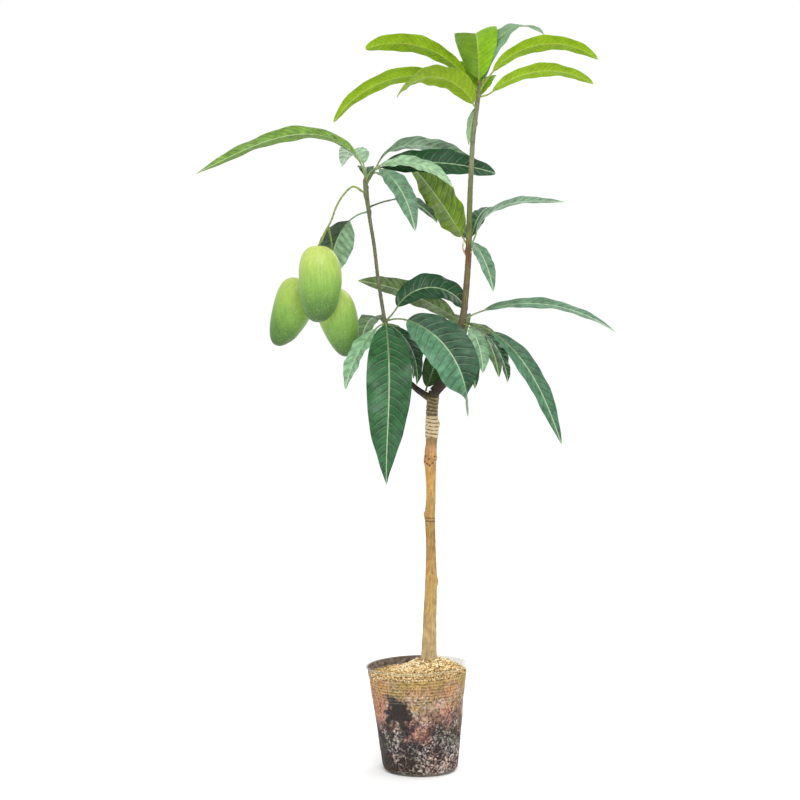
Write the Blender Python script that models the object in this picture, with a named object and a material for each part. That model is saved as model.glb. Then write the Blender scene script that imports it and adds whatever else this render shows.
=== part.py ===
"""A grafted mango sapling about 1.1 m tall, in a clear plastic nursery pot.

The plant stands in the soil of its pot. A bare trunk with a taped graft forks
into a long right leader and a thinner left bough. Each flush of growth ends in
a whorl of leaves, and three green mangoes hang from the left bough's tip.

All sizes are in metres, +Z is up and the origin is the middle of the pot's
underside. X runs to the right and Y runs away from the viewer of the front.
"""

import math
from collections import namedtuple

import bmesh
import bpy
import numpy as np

# The pot: a thin clear cup with a rolled rim, fine ribs and a slight lean.
POT_RIM_RADIUS = 0.0750
POT_BASE_RADIUS = 0.0555
POT_HEIGHT = 0.1550
POT_WALL = 0.0012
POT_CORNER = 0.0070
POT_LEAN = -0.0047
POT_RIM_DIP = math.radians(2.0)
RIM_ROLL = 0.0016
RIB_COUNT = 9
RIB_PITCH = 0.0044
RIB_DEPTH = 0.0006
RIBS_TOP = 0.1470
POT_SEGMENTS = 40

# The soil fills the pot and rises to a small level seat under the trunk.
FIT_GAP = 0.0003
SOIL_EDGE_HEIGHT = 0.1420
SOIL_SIDE_RISE = 0.0040
SEAT_HEIGHT = 0.1630
SEAT_RADIUS = 0.0150
SOIL_RINGS = 7
SOIL_LUMP = 0.0012
SOIL_SEED = 7

# Limbs are smooth curves through a few (x, y, z, radius) stations.
TRUNK = (
    (0.0118, 0.0, SEAT_HEIGHT + FIT_GAP, 0.0128),
    (0.0122, 0.0, 0.175, 0.0111),
    (0.0136, 0.0, 0.220, 0.0098),
    (0.0153, 0.0, 0.276, 0.0087),
    (0.0152, 0.0, 0.326, 0.0071),
    (0.0139, 0.0, 0.374, 0.0074),
    (0.0152, 0.0, 0.411, 0.0068),
    (0.0140, 0.0, 0.456, 0.0086),
    (0.0156, 0.0, 0.480, 0.0082),
    (0.0165, 0.0, 0.501, 0.0086),
    (0.0166, 0.0, 0.530, 0.0076),
    (0.0195, 0.0, 0.5535, 0.0080),
)
LEADER = (
    (0.0195, 0.0, 0.5535, 0.0080),
    (0.0426, 0.001, 0.5815, 0.0070),
    (0.0527, 0.002, 0.622, 0.0060),
    (0.0627, 0.003, 0.671, 0.0049),
    (0.0684, 0.003, 0.738, 0.0044),
    (0.0698, 0.003, 0.778, 0.0043),
    (0.0711, 0.004, 0.832, 0.0038),
    (0.0753, 0.006, 0.918, 0.0034),
    (0.0824, 0.008, 0.975, 0.0032),
    (0.0845, 0.009, 0.998, 0.0026),
)
LEFT_BOUGH = (
    (0.0150, 0.0, 0.5440, 0.0060),
    (-0.0078, 0.002, 0.5597, 0.0042),
    (-0.0265, 0.005, 0.580, 0.0032),
    (-0.0425, 0.006, 0.615, 0.0029),
    (-0.0490, 0.004, 0.641, 0.0029),
    (-0.0532, 0.003, 0.664, 0.0027),
    (-0.0619, 0.001, 0.719, 0.0025),
    (-0.0676, 0.0, 0.767, 0.0025),
    (-0.0748, 0.0, 0.8115, 0.0027),
    (-0.0790, 0.0, 0.846, 0.0036),
    (-0.0805, 0.0, 0.858, 0.0030),
)
# Heights where one flush ends and the next begins; each whorl takes the stretch
# of limb between its two heights, and the boughs take what lies between whorls.
FORK_STUB_END = 0.5600
LOWER_RIGHT = (0.640, 0.664)
MIDDLE = (0.752, 0.776)
TOP = (0.952, 0.998)
LOWER_LEFT = (0.641, 0.661)
LEFT_TIP = (0.808, 0.858)

FLARE_LOBES = 5
FLARE_DEPTH = 0.10
FLARE_HEIGHT = 0.014
# Knots are bumps on a limb: height, facing in degrees, how far out, how tall.
TRUNK_KNOTS = (
    (0.2775, 0.0, 0.0020, 0.006),
    (0.3745, 180.0, 0.0022, 0.005),
    (0.4530, 200.0, 0.0012, 0.006),
    (0.4600, -30.0, 0.0014, 0.006),
    (0.5420, 150.0, 0.0014, 0.006),
)
TAPE_BOTTOM = 0.4870
TAPE_TOP = 0.5180
TAPE_THICKNESS = 0.0009

# The fruit stalk bends out to the left and down, and carries three fruit.
STALK = (
    (-0.0832, -0.0012, 0.8430, 0.0017),
    (-0.0975, -0.006, 0.8505, 0.0015),
    (-0.1110, -0.011, 0.8390, 0.0014),
    (-0.1215, -0.015, 0.8215, 0.0014),
    (-0.1290, -0.018, 0.8010, 0.0014),
    (-0.1375, -0.021, 0.7850, 0.0014),
    (-0.1425, -0.023, 0.7720, 0.0014),
)
MANGO_LENGTH = 0.110
MANGO_RADIUS = 0.0310
MANGO_FLATNESS = 0.90
MANGO_POWER = 2.25
MANGO_SKEW = 0.90
MANGO_BOW = 0.0030
MANGO_RINGS = 12
MANGO_SEGMENTS = 18
PEDICEL_RADIUS = 0.0013
# A fruit: where its top and its foot are, its share of full size, how much it
# narrows towards its foot, and the points of its pedicel on the way from the stalk.
Mango = namedtuple("Mango", "name top foot size taper pedicel")
MANGOES = (
    Mango(
        "mango_front", (-0.1470, -0.024, 0.7655), (-0.1478, -0.030, 0.6550), 1.00, 0.12,
        ((-0.1428, -0.0231, 0.7713),),
    ),
    Mango(
        "mango_left", (-0.1740, 0.040, 0.7170), (-0.2130, 0.046, 0.6180), 0.95, 0.42,
        ((-0.1377, -0.0189, 0.7846), (-0.1500, 0.016, 0.7620)),
    ),
    Mango(
        "mango_right", (-0.1360, 0.020, 0.7030), (-0.1050, 0.014, 0.6020), 0.93, 0.42,
        ((-0.1325, -0.0178, 0.7922), (-0.1290, 0.010, 0.7600)),
    ),
)

# A leaf: how far up its whorl's stem it stands, its facing, the pitch its petiole
# sets out at and the petiole's length; the pitch of its blade at base and at tip
# and how early the bend comes; the blade's length and width, its roll about its
# own midrib and the fold of its two halves. Angles are in degrees.
Leaf = namedtuple("Leaf", "along turn lift petiole rise fall arch length width roll fold")
PETIOLE_RADIUS = 0.0013
BLADE_STATIONS = (0.0, 0.06, 0.17, 0.30, 0.44, 0.58, 0.72, 0.86, 1.0)
THICKNESS_SHARE = 1.0 / 92.0
ROOT_SINK = 0.010

TOP_LEAVES = (
    Leaf(0.80, 172, 45, 0.025, 53, -20, 1.0, 0.164, 0.034, 50, 16),
    Leaf(0.60, -176, 40, 0.022, 27, -58, 1.0, 0.214, 0.032, 42, 16),
    Leaf(0.25, -150, 30, 0.006, 58, -55, 1.0, 0.150, 0.050, 30, 16),
    Leaf(0.90, 92, 70, 0.012, 84, -35, 1.0, 0.170, 0.066, -14, 16),
    Leaf(0.62, 46, 50, 0.024, 82, -22, 1.0, 0.174, 0.034, 10, 16),
    Leaf(0.75, -8, 60, 0.033, 50, -38, 1.0, 0.167, 0.029, -45, 16),
    Leaf(0.60, -20, -5, 0.020, 38, -33, 1.0, 0.159, 0.028, -40, 16),
    Leaf(0.42, 125, -30, 0.004, -60, -88, 1.0, 0.055, 0.022, 0, 16),
)
LEFT_TIP_LEAVES = (
    Leaf(0.85, -172, 92, 0.043, 52, -27, 2.8, 0.250, 0.030, -35, 16),
    Leaf(0.90, 28, 55, 0.035, 61, -18, 3.0, 0.178, 0.036, -25, 16),
    Leaf(0.85, 12, 86, 0.035, 12, -17, 1.0, 0.172, 0.050, 50, 16),
    Leaf(0.85, -15, 90, 0.034, 18, -50, 1.0, 0.120, 0.034, 30, 16),
    Leaf(0.90, -50, 88, 0.044, -20, -72, 1.3, 0.122, 0.036, 15, 16),
    Leaf(0.20, 44, 20, 0.043, 10, -46, 1.0, 0.106, 0.028, -10, 16),
    Leaf(0.10, 115, 0, 0.050, -25, -90, 1.0, 0.105, 0.050, -152, 16),
    Leaf(0.80, 108, 95, 0.040, 45, -45, 1.0, 0.120, 0.036, 0, 16),
)
MIDDLE_LEAVES = (
    Leaf(0.45, 141, 50, 0.016, 55, 40, 1.0, 0.152, 0.070, 72, 16),
    Leaf(0.50, 15, 45, 0.018, 76, -3, 2.5, 0.155, 0.024, -30, 16),
    Leaf(0.55, -65, 80, 0.012, -25, -70, 1.0, 0.098, 0.026, 0, 16),
)
LOWER_LEFT_LEAVES = (
    Leaf(0.60, -87, 20, 0.012, -40, -94, 1.0, 0.250, 0.066, 0, 16),
    Leaf(0.60, -30, -20, 0.010, -38, -98, 1.0, 0.083, 0.034, 0, 16),
    Leaf(0.50, 30, 10, 0.018, -40, -100, 1.0, 0.082, 0.038, 0, 16),
    Leaf(0.60, -140, -9, 0.017, -38, -76, 1.0, 0.098, 0.036, 0, 16),
    Leaf(0.80, 12, 40, 0.026, 58, -66, 1.0, 0.127, 0.045, 50, 16),
    Leaf(0.70, -36, 20, 0.038, -13, -95, 0.9, 0.186, 0.070, 45, 16),
)
LOWER_RIGHT_LEAVES = (
    Leaf(0.50, 150, 50, 0.008, 31, 5, 1.0, 0.176, 0.042, 60, 16),
    Leaf(0.40, -60, -40, 0.010, -52, -90, 1.0, 0.084, 0.024, 0, 16),
    Leaf(0.50, -72, -9, 0.020, -43, -93, 1.0, 0.062, 0.028, 0, 16),
    Leaf(0.70, -40, -15, 0.034, -38, -84, 1.0, 0.080, 0.032, 0, 16),
    Leaf(0.70, 5, 31, 0.030, 17, -36, 1.0, 0.203, 0.027, 34, 16),
    Leaf(0.55, -15, 5, 0.042, -32, -70, 2.0, 0.194, 0.034, 45, 16),
)
FORK_LEAVES = (
    Leaf(0.40, 60, 80, 0.004, 52, 58, 1.0, 0.094, 0.034, 35, 16),
)
# The far side of a whorl, which the front view hides: how many leaves, the middle
# of their facing and of their pitch and the angles between neighbours, then the
# leaf they vary from.
FarSide = namedtuple("FarSide", "seed count turn spread tier leaf")
FAR_SIDES = {
    "leaves_top": FarSide(
        3, 2, 92, 26, 24, Leaf(0.45, 0, 50, 0.014, 54, -14, 1.0, 0.130, 0.034, 0, 16)
    ),
    "leaves_left_tip": FarSide(
        5, 2, 80, 24, 20, Leaf(0.70, 0, 80, 0.034, 20, -30, 1.0, 0.100, 0.028, 0, 16)
    ),
    "leaves_middle": FarSide(
        2, 2, 84, 28, -24, Leaf(0.50, 0, 45, 0.016, 40, 0, 1.0, 0.100, 0.028, 0, 16)
    ),
    "leaves_lower_left": FarSide(
        4, 2, 95, 28, 30, Leaf(0.45, 0, 20, 0.016, 5, -82, 1.0, 0.135, 0.035, 0, 16)
    ),
    "leaves_lower_right": FarSide(
        6, 2, 74, 34, 30, Leaf(0.45, 0, 20, 0.016, 5, -80, 1.0, 0.130, 0.036, 0, 16)
    ),
}
FAR_VARIATION = 0.08
LIMB_CLEARANCE = 0.006
WHORL_ROOM = 0.045
FORK_TWIG = (
    (0.0078, 0.004, 0.5553, 0.0024),
    (0.0084, 0.005, 0.5620, 0.0018),
)

Finish = namedtuple("Finish", "colour roughness alpha")
FINISHES = {
    "clear_plastic": Finish((0.62, 0.56, 0.48), 0.25, 0.45),
    "soil": Finish((0.16, 0.10, 0.07), 0.95, 1.0),
    "bark": Finish((0.52, 0.34, 0.13), 0.75, 1.0),
    "tape": Finish((0.50, 0.40, 0.24), 0.55, 1.0),
    "green_bark": Finish((0.16, 0.16, 0.08), 0.70, 1.0),
    "leaf": Finish((0.07, 0.22, 0.09), 0.42, 1.0),
    "young_leaf": Finish((0.30, 0.45, 0.02), 0.40, 1.0),
    "stalk": Finish((0.30, 0.36, 0.08), 0.60, 1.0),
    "mango": Finish((0.30, 0.50, 0.12), 0.45, 1.0),
}


def clear_scene():
    for obj in list(bpy.data.objects):
        bpy.data.objects.remove(obj, do_unlink=True)


def finish_material(node_name, finish_name):
    """A material of the node's own, in one of the named finishes."""
    finish = FINISHES[finish_name]
    material = bpy.data.materials.new(f"{node_name}_{finish_name}")
    material.use_nodes = True
    shader = material.node_tree.nodes["Principled BSDF"]
    shader.inputs["Base Color"].default_value = (*finish.colour, 1.0)
    shader.inputs["Roughness"].default_value = finish.roughness
    shader.inputs["Alpha"].default_value = finish.alpha
    material.diffuse_color = (*finish.colour, finish.alpha)
    return material


def solid(name, points, faces, finish_name):
    """A closed mesh object, its faces turned outwards and its round sides smooth."""
    mesh = bpy.data.meshes.new(name)
    mesh.from_pydata([tuple(point) for point in points], [], faces)
    build = bmesh.new()
    build.from_mesh(mesh)
    bmesh.ops.recalc_face_normals(build, faces=build.faces)
    build.to_mesh(mesh)
    build.free()
    mesh.shade_smooth()
    mesh.set_sharp_from_angle(angle=math.radians(40))
    mesh.materials.append(finish_material(name, finish_name))
    obj = bpy.data.objects.new(name, mesh)
    bpy.context.scene.collection.objects.link(obj)
    return obj


def joined_rings(rings):
    """Points and faces of a tube through rings of equal count, capped at both ends."""
    count, sides = rings.shape[:2]
    faces = []
    for row in range(count - 1):
        for side in range(sides):
            here = row * sides + side
            beside = row * sides + (side + 1) % sides
            faces.append((here, beside, beside + sides, here + sides))
    faces.append(tuple(range(sides))[::-1])
    faces.append(tuple(range((count - 1) * sides, count * sides)))
    return rings.reshape(-1, 3), faces


def spline(stations, fine):
    """Catmull-Rom curve through the stations, with `fine` steps between each two."""
    rows = np.array(stations, float)
    ends = np.vstack([2 * rows[0] - rows[1], rows, 2 * rows[-1] - rows[-2]])
    steps = np.linspace(0.0, 1.0, fine, endpoint=False)[:, None]
    curve = []
    for before, start, end, after in zip(ends, ends[1:], ends[2:], ends[3:]):
        curve.append(
            start
            + 0.5 * steps * (end - before)
            + steps**2 * (before - 2.5 * start + 2 * end - 0.5 * after)
            + steps**3 * (1.5 * (start - end) + 0.5 * (after - before))
        )
    return np.vstack([*curve, rows[-1:]])


def stretch(stations, low, high, steps):
    """The part of a limb between two heights, as evenly spaced (x, y, z, radius) rows."""
    curve = spline(stations, 24)
    heights = np.linspace(low, high, steps)
    columns = [np.interp(heights, curve[:, 2], curve[:, k]) for k in (0, 1, 3)]
    return np.stack([columns[0], columns[1], heights, columns[2]], axis=1)


def rings_along(path, sides, level=()):
    """Circles of each row's radius across the path, carried along without twisting.
    The rows numbered in `level` are cut level."""
    path = np.asarray(path, float)
    ways = np.gradient(path[:, :3], axis=0)
    ways /= np.linalg.norm(ways, axis=1, keepdims=True)
    for number in level:
        ways[number] = (0.0, 0.0, 1.0)
    across = np.cross((0.0, 1.0, 0.0), ways[0])
    if np.linalg.norm(across) < 0.1:
        across = np.cross((1.0, 0.0, 0.0), ways[0])
    angles = np.linspace(0.0, 2 * math.pi, sides, endpoint=False)
    rings = []
    for row, way in zip(path, ways):
        across = across - way * across.dot(way)
        across /= np.linalg.norm(across)
        up = np.cross(way, across)
        circle = np.outer(np.cos(angles), across) + np.outer(np.sin(angles), up)
        rings.append(row[:3] + row[3] * circle)
    return np.array(rings)


def limb(name, path, sides, finish_name, level=()):
    points, faces = joined_rings(rings_along(path, sides, level))
    return solid(name, points, faces, finish_name)


def fuse(base, others):
    """Unites the others with the base in one Boolean and removes them."""
    group = bpy.data.collections.new(base.name + "_pieces")
    bpy.context.scene.collection.children.link(group)
    for other in others:
        bpy.context.scene.collection.objects.unlink(other)
        group.objects.link(other)
    union = base.modifiers.new("Union", "BOOLEAN")
    union.operation = "UNION"
    union.operand_type = "COLLECTION"
    union.collection = group
    union.solver = "EXACT"
    bpy.context.view_layer.objects.active = base
    bpy.ops.object.modifier_apply(modifier=union.name)
    for other in others:
        bpy.data.objects.remove(other, do_unlink=True)
    bpy.data.collections.remove(group)
    while len(base.data.materials) > 1:
        base.data.materials.pop()
    return base


def pot_place(radius, angle, height):
    """A point of the pot's round frame, leaned to the left and with its rim dipped."""
    share = height / POT_HEIGHT
    x = radius * math.cos(angle)
    y = radius * math.sin(angle)
    return (x + POT_LEAN * share, y, height + share * x * math.tan(POT_RIM_DIP))


def wall_radius(height):
    """The outer radius of the plain wall, which widens evenly from base to rim."""
    top = POT_RIM_RADIUS - RIM_ROLL
    return POT_BASE_RADIUS + (top - POT_BASE_RADIUS) * height / POT_HEIGHT


def corner_arc(radius, height, size):
    """A quarter round in a profile, from the flat underside up to the wall."""
    turns = np.radians((-90, -60, -30, 0))
    return [
        (radius - size + size * math.cos(turn), height + size + size * math.sin(turn))
        for turn in turns
    ]


def turned(profile, segments, place):
    """A profile from axis to axis, carried round; its two end points are poles."""
    points = [place(profile[0][0], 0.0, profile[0][1])]
    for radius, height in profile[1:-1]:
        for step in range(segments):
            points.append(place(radius, 2 * math.pi * step / segments, height))
    points.append(place(profile[-1][0], 0.0, profile[-1][1]))
    last = len(points) - 1
    faces = []
    for step in range(segments):
        beside = (step + 1) % segments
        faces.append((0, 1 + beside, 1 + step))
        for row in range(len(profile) - 3):
            near = 1 + row * segments
            far = near + segments
            faces.append((near + step, near + beside, far + beside, far + step))
        top = last - segments
        faces.append((top + step, top + beside, last))
    return points, faces


def make_pot():
    """The clear cup: ribbed outside near the top, plain inside, with a rolled rim."""
    profile = [(0.0, 0.0)] + corner_arc(POT_BASE_RADIUS, 0.0, POT_CORNER)
    first_rib = RIBS_TOP - RIB_COUNT * RIB_PITCH
    for rib in range(RIB_COUNT):
        low = first_rib + rib * RIB_PITCH
        crest = low + RIB_PITCH / 2
        profile.append((wall_radius(low), low))
        profile.append((wall_radius(crest) + RIB_DEPTH, crest))
    profile.append((wall_radius(RIBS_TOP), RIBS_TOP))
    for turn in np.radians((-60, 0, 60, 120)):
        out = POT_RIM_RADIUS - RIM_ROLL + RIM_ROLL * math.cos(turn)
        profile.append((out, POT_HEIGHT - RIM_ROLL + RIM_ROLL * math.sin(turn)))
    inner_top = POT_HEIGHT - 2 * RIM_ROLL
    profile.append((wall_radius(inner_top) - POT_WALL, inner_top))
    inside = corner_arc(POT_BASE_RADIUS - POT_WALL, POT_WALL, POT_CORNER - POT_WALL)
    profile += inside[::-1] + [(0.0, POT_WALL)]
    points, faces = turned(profile, POT_SEGMENTS, pot_place)
    return solid("pot", points, faces, "clear_plastic")


def make_soil():
    """Soil 0.3 mm clear of the pot, mounded up to the level seat of the trunk."""
    inset = POT_WALL + FIT_GAP
    lumps = np.random.default_rng(SOIL_SEED).uniform(-1, 1, (SOIL_RINGS, POT_SEGMENTS))
    profile = [(0.0, inset)]
    profile += corner_arc(POT_BASE_RADIUS - inset, inset, POT_CORNER - inset)
    profile.append((wall_radius(SOIL_EDGE_HEIGHT) - inset, SOIL_EDGE_HEIGHT))
    edge_radius = profile[-1][0]

    def place(radius, angle, height):
        ring = height - 1.0
        if ring < 0:
            return pot_place(radius, angle, height)
        share = ring / SOIL_RINGS
        edge = pot_place(edge_radius, angle, SOIL_EDGE_HEIGHT)
        seat_x = TRUNK[0][0] + SEAT_RADIUS * math.cos(angle)
        seat_y = SEAT_RADIUS * math.sin(angle)
        side = SOIL_SIDE_RISE * math.cos(angle) * math.sin(math.pi * share)
        mound = (SEAT_HEIGHT - edge[2]) * share**1.5
        lump = 0.0
        if 0 < ring < SOIL_RINGS:
            step = int(round(angle / (2 * math.pi) * POT_SEGMENTS)) % POT_SEGMENTS
            lump = SOIL_LUMP * lumps[int(ring), step]
        return (
            edge[0] + (seat_x - edge[0]) * share,
            edge[1] + (seat_y - edge[1]) * share,
            edge[2] + mound + side + lump,
        )

    # Rings of the top are counted by whole numbers above 1, which `place` reads.
    profile += [(radius, 1.0 + radius) for radius in range(1, SOIL_RINGS + 1)]
    points, faces = turned(profile + [(0.0, 0.0)], POT_SEGMENTS, place)
    points[-1] = (TRUNK[0][0], 0.0, SEAT_HEIGHT)
    return solid("soil", points, faces, "soil")


def make_trunk():
    """The bare trunk with its knots, root flare and the stub of the left bough."""
    path = stretch(TRUNK, TRUNK[0][2], TRUNK[-1][2] - FIT_GAP, 46)
    rings = rings_along(path, 16, level=(0, -1))
    middles = path[:, None, :3]
    outward = rings - middles
    facing = np.arctan2(outward[:, :, 1], outward[:, :, 0])
    reach = np.linalg.norm(outward, axis=2)
    grown = reach.copy()
    above = (path[:, 2] - path[0, 2])[:, None]
    grown *= 1 + FLARE_DEPTH * np.cos(FLARE_LOBES * facing) * np.exp(-above / FLARE_HEIGHT)
    for height, degrees, out, tall in TRUNK_KNOTS:
        near = np.exp(-(((path[:, 2] - height) / tall) ** 2))[:, None]
        front = np.clip(np.cos(facing - math.radians(degrees)), 0, None) ** 2
        grown += out * near * front
    rings = middles + outward * (grown / reach)[:, :, None]
    points, faces = joined_rings(rings)
    trunk = solid("trunk", points, faces, "bark")
    stub = stretch(LEFT_BOUGH, LEFT_BOUGH[0][2], FORK_STUB_END - FIT_GAP, 5)
    return fuse(trunk, [limb("stub", stub, 10, "bark")])


def make_tape():
    """Tape wound round the graft: a thin sleeve that follows the trunk's own line."""
    path = stretch(TRUNK, TAPE_BOTTOM, TAPE_TOP, 7)
    inside = path.copy()
    inside[:, 3] += FIT_GAP
    outside = inside.copy()
    outside[:, 3] += TAPE_THICKNESS
    outer = rings_along(outside, 16, level=(0, -1))
    inner = rings_along(inside, 16, level=(0, -1))
    rings = np.concatenate([outer, inner[::-1]])
    count, sides = rings.shape[:2]
    faces = []
    for row in range(count):
        here = row * sides
        after = (row + 1) % count * sides
        for side in range(sides):
            beside = (side + 1) % sides
            faces.append((here + side, here + beside, after + beside, after + side))
    return solid("graft_tape", rings.reshape(-1, 3), faces, "tape")


def bent_line(start, turn, first_pitch, last_pitch, arch, length, shares):
    """Points and directions along a line of one facing whose pitch goes from the
    first to the last, the sooner the larger `arch` is."""
    fine = np.linspace(0.0, 1.0, 65)
    pitch = np.radians(last_pitch + (first_pitch - last_pitch) * (1 - fine) ** arch)
    facing = math.radians(turn)
    level = np.cos(pitch)
    ways = np.stack([level * math.cos(facing), level * math.sin(facing), np.sin(pitch)], 1)
    steps = (ways[1:] + ways[:-1]) * 0.5 * length / 64
    line = np.vstack([np.zeros(3), np.cumsum(steps, axis=0)]) + np.asarray(start)
    at = [np.interp(shares, fine, line[:, k]) for k in range(3)]
    toward = [np.interp(shares, fine, ways[:, k]) for k in range(3)]
    return np.stack(at, 1), np.stack(toward, 1)


def blade_width(shares):
    """A lance shape, widest at two fifths of its length and drawn out to a point."""
    outline = shares**0.60 * (1 - shares) ** 0.85
    widest = 0.6 / 1.45
    return outline / (widest**0.60 * (1 - widest) ** 0.85)


def leaf_pieces(leaf, stem):
    """The petiole and the folded blade of one leaf, as two closed solids."""
    row = stem[round(leaf.along * (len(stem) - 1))]
    reach = leaf.petiole + row[3]
    shares = np.linspace(0.0, 1.0, 5)
    line, ways = bent_line(row[:3], leaf.turn, leaf.lift, leaf.rise, 1.0, reach, shares)
    inside_blade = line[-1] + ways[-1] * ROOT_SINK
    radii = np.full((6, 1), PETIOLE_RADIUS)
    petiole = np.hstack([np.vstack([line, inside_blade]), radii])
    shares = np.array(BLADE_STATIONS)
    middle, ways = bent_line(
        line[-1], leaf.turn, leaf.rise, leaf.fall, leaf.arch, leaf.length, shares
    )
    facing = math.radians(leaf.turn)
    level = np.array([-math.sin(facing), math.cos(facing), 0.0])
    normal = np.cross(ways, level)
    normal /= np.linalg.norm(normal, axis=1, keepdims=True)
    roll = math.radians(leaf.roll)
    across = level * math.cos(roll) + normal * math.sin(roll)
    upward = normal * math.cos(roll) - level * math.sin(roll)
    half = np.maximum(0.5 * leaf.width * blade_width(shares), 0.0012)[:, None]
    thick = 0.5 * leaf.length * THICKNESS_SHARE
    fold = math.radians(leaf.fold)
    left = middle + half * (upward * math.sin(fold) - across * math.cos(fold))
    right = middle + half * (upward * math.sin(fold) + across * math.cos(fold))
    ring = [left + upward * thick, left - upward * thick, middle - upward * thick,
            right - upward * thick, right + upward * thick, middle + upward * thick]
    return petiole, np.stack(ring, axis=1)


def clear_of_limbs(blade):
    """Whether a blade passes every limb, leaving out what lies close to its own whorl."""
    points = blade.reshape(-1, 3)
    points = points[np.linalg.norm(points - points[0], axis=1) > WHORL_ROOM]
    for stations in (TRUNK, LEADER, LEFT_BOUGH):
        curve = spline(stations, 12)
        apart = np.linalg.norm(points[:, None] - curve[None, :, :3], axis=2) - curve[:, 3]
        if apart.min() < LIMB_CLEARANCE:
            return False
    return True


def far_leaves(side, stem):
    """The leaves of a whorl's far side, dealt by the seeded rule; one that would touch
    a limb is skipped."""
    random = np.random.default_rng(side.seed)
    leaves = []
    for number in range(side.count):
        like = side.leaf
        step = number - (side.count - 1) / 2
        vary = 1 + FAR_VARIATION * random.uniform(-1, 1, 4)
        leaf = like._replace(
            along=like.along * vary[0],
            turn=side.turn + side.spread * step,
            rise=like.rise + side.tier * step,
            fall=like.fall * vary[1],
            length=like.length * vary[2],
            width=like.width * vary[3],
        )
        if clear_of_limbs(leaf_pieces(leaf, stem)[1]):
            leaves.append(leaf)
    return leaves


def make_mass(name, stem, leaves, finish_name):
    """A whorl: one short stem with every leaf fused on by its petiole."""
    base = limb(name, stem, 8, finish_name)
    pieces = []
    for number, leaf in enumerate(leaves):
        petiole, blade = leaf_pieces(leaf, stem)
        pieces.append(limb(f"{name}_petiole_{number}", petiole, 5, finish_name))
        points, faces = joined_rings(blade)
        pieces.append(solid(f"{name}_blade_{number}", points, faces, finish_name))
    return fuse(base, pieces)


def make_whorl(name, stations, reach, leaves, finish_name):
    stem = stretch(stations, reach[0] + FIT_GAP / 2, reach[1] - FIT_GAP / 2, 9)
    leaves = [*leaves, *far_leaves(FAR_SIDES[name], stem)]
    return make_mass(name, stem, leaves, finish_name)


def make_bough(name, stations, low, high, steps, level=()):
    path = stretch(stations, low + FIT_GAP / 2, high - FIT_GAP / 2, steps)
    return limb(name, path, 10, "green_bark", level)


def make_mango(mango):
    """An ovoid fruit, slightly flat and bowed, with its pedicel fused on top."""
    top = np.array(mango.top)
    axis = np.array(mango.foot) - top
    length = MANGO_LENGTH * mango.size
    axis /= np.linalg.norm(axis)
    across = np.cross(axis, (0.0, 1.0, 0.0))
    across /= np.linalg.norm(across)
    deep = np.cross(axis, across)
    rings = []
    for share in 0.5 - 0.5 * np.cos(np.linspace(0.06, 0.96, MANGO_RINGS) * math.pi):
        radius = MANGO_RADIUS * mango.size
        radius *= (1 - abs(2 * share**MANGO_SKEW - 1) ** MANGO_POWER) ** (1 / MANGO_POWER)
        radius *= 1 - mango.taper * (share - 0.4)
        middle = top + axis * length * share
        middle = middle + across * MANGO_BOW * math.sin(math.pi * share)
        angles = np.linspace(0, 2 * math.pi, MANGO_SEGMENTS, endpoint=False)
        circle = np.outer(np.cos(angles), across) + MANGO_FLATNESS * np.outer(np.sin(angles), deep)
        rings.append(middle + radius * circle)
    points, faces = joined_rings(np.array(rings))
    fruit = solid(mango.name, points, faces, "mango")
    route = [(*point, PEDICEL_RADIUS) for point in mango.pedicel]
    route.append((*top, PEDICEL_RADIUS * 1.4))
    route.append((*(top + axis * 0.008), PEDICEL_RADIUS * 1.6))
    return fuse(fruit, [limb(mango.name + "_pedicel", spline(route, 3), 6, "mango")])


def main():
    clear_scene()
    make_pot()
    make_soil()
    make_trunk()
    make_tape()
    make_bough("leader_lower", LEADER, LEADER[0][2], LOWER_RIGHT[0], 9, level=(0,))
    make_bough("leader_middle", LEADER, LOWER_RIGHT[1], MIDDLE[0], 7)
    make_bough("leader_upper", LEADER, MIDDLE[1], TOP[0], 10)
    make_bough("left_bough_lower", LEFT_BOUGH, FORK_STUB_END, LOWER_LEFT[0], 8)
    make_bough("left_bough_upper", LEFT_BOUGH, LOWER_LEFT[1], LEFT_TIP[0], 10)
    limb("fruit_stalk", spline(STALK, 3), 6, "stalk")
    for mango in MANGOES:
        make_mango(mango)
    make_whorl("leaves_top", LEADER, TOP, TOP_LEAVES, "young_leaf")
    make_whorl("leaves_middle", LEADER, MIDDLE, MIDDLE_LEAVES, "leaf")
    make_whorl("leaves_lower_right", LEADER, LOWER_RIGHT, LOWER_RIGHT_LEAVES, "leaf")
    make_whorl("leaves_lower_left", LEFT_BOUGH, LOWER_LEFT, LOWER_LEFT_LEAVES, "leaf")
    make_whorl("leaves_left_tip", LEFT_BOUGH, LEFT_TIP, LEFT_TIP_LEAVES, "leaf")
    make_mass("leaves_fork", np.array(FORK_TWIG), FORK_LEAVES, "leaf")


main()
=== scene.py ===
import math
from collections import namedtuple
from functools import partial

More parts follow.
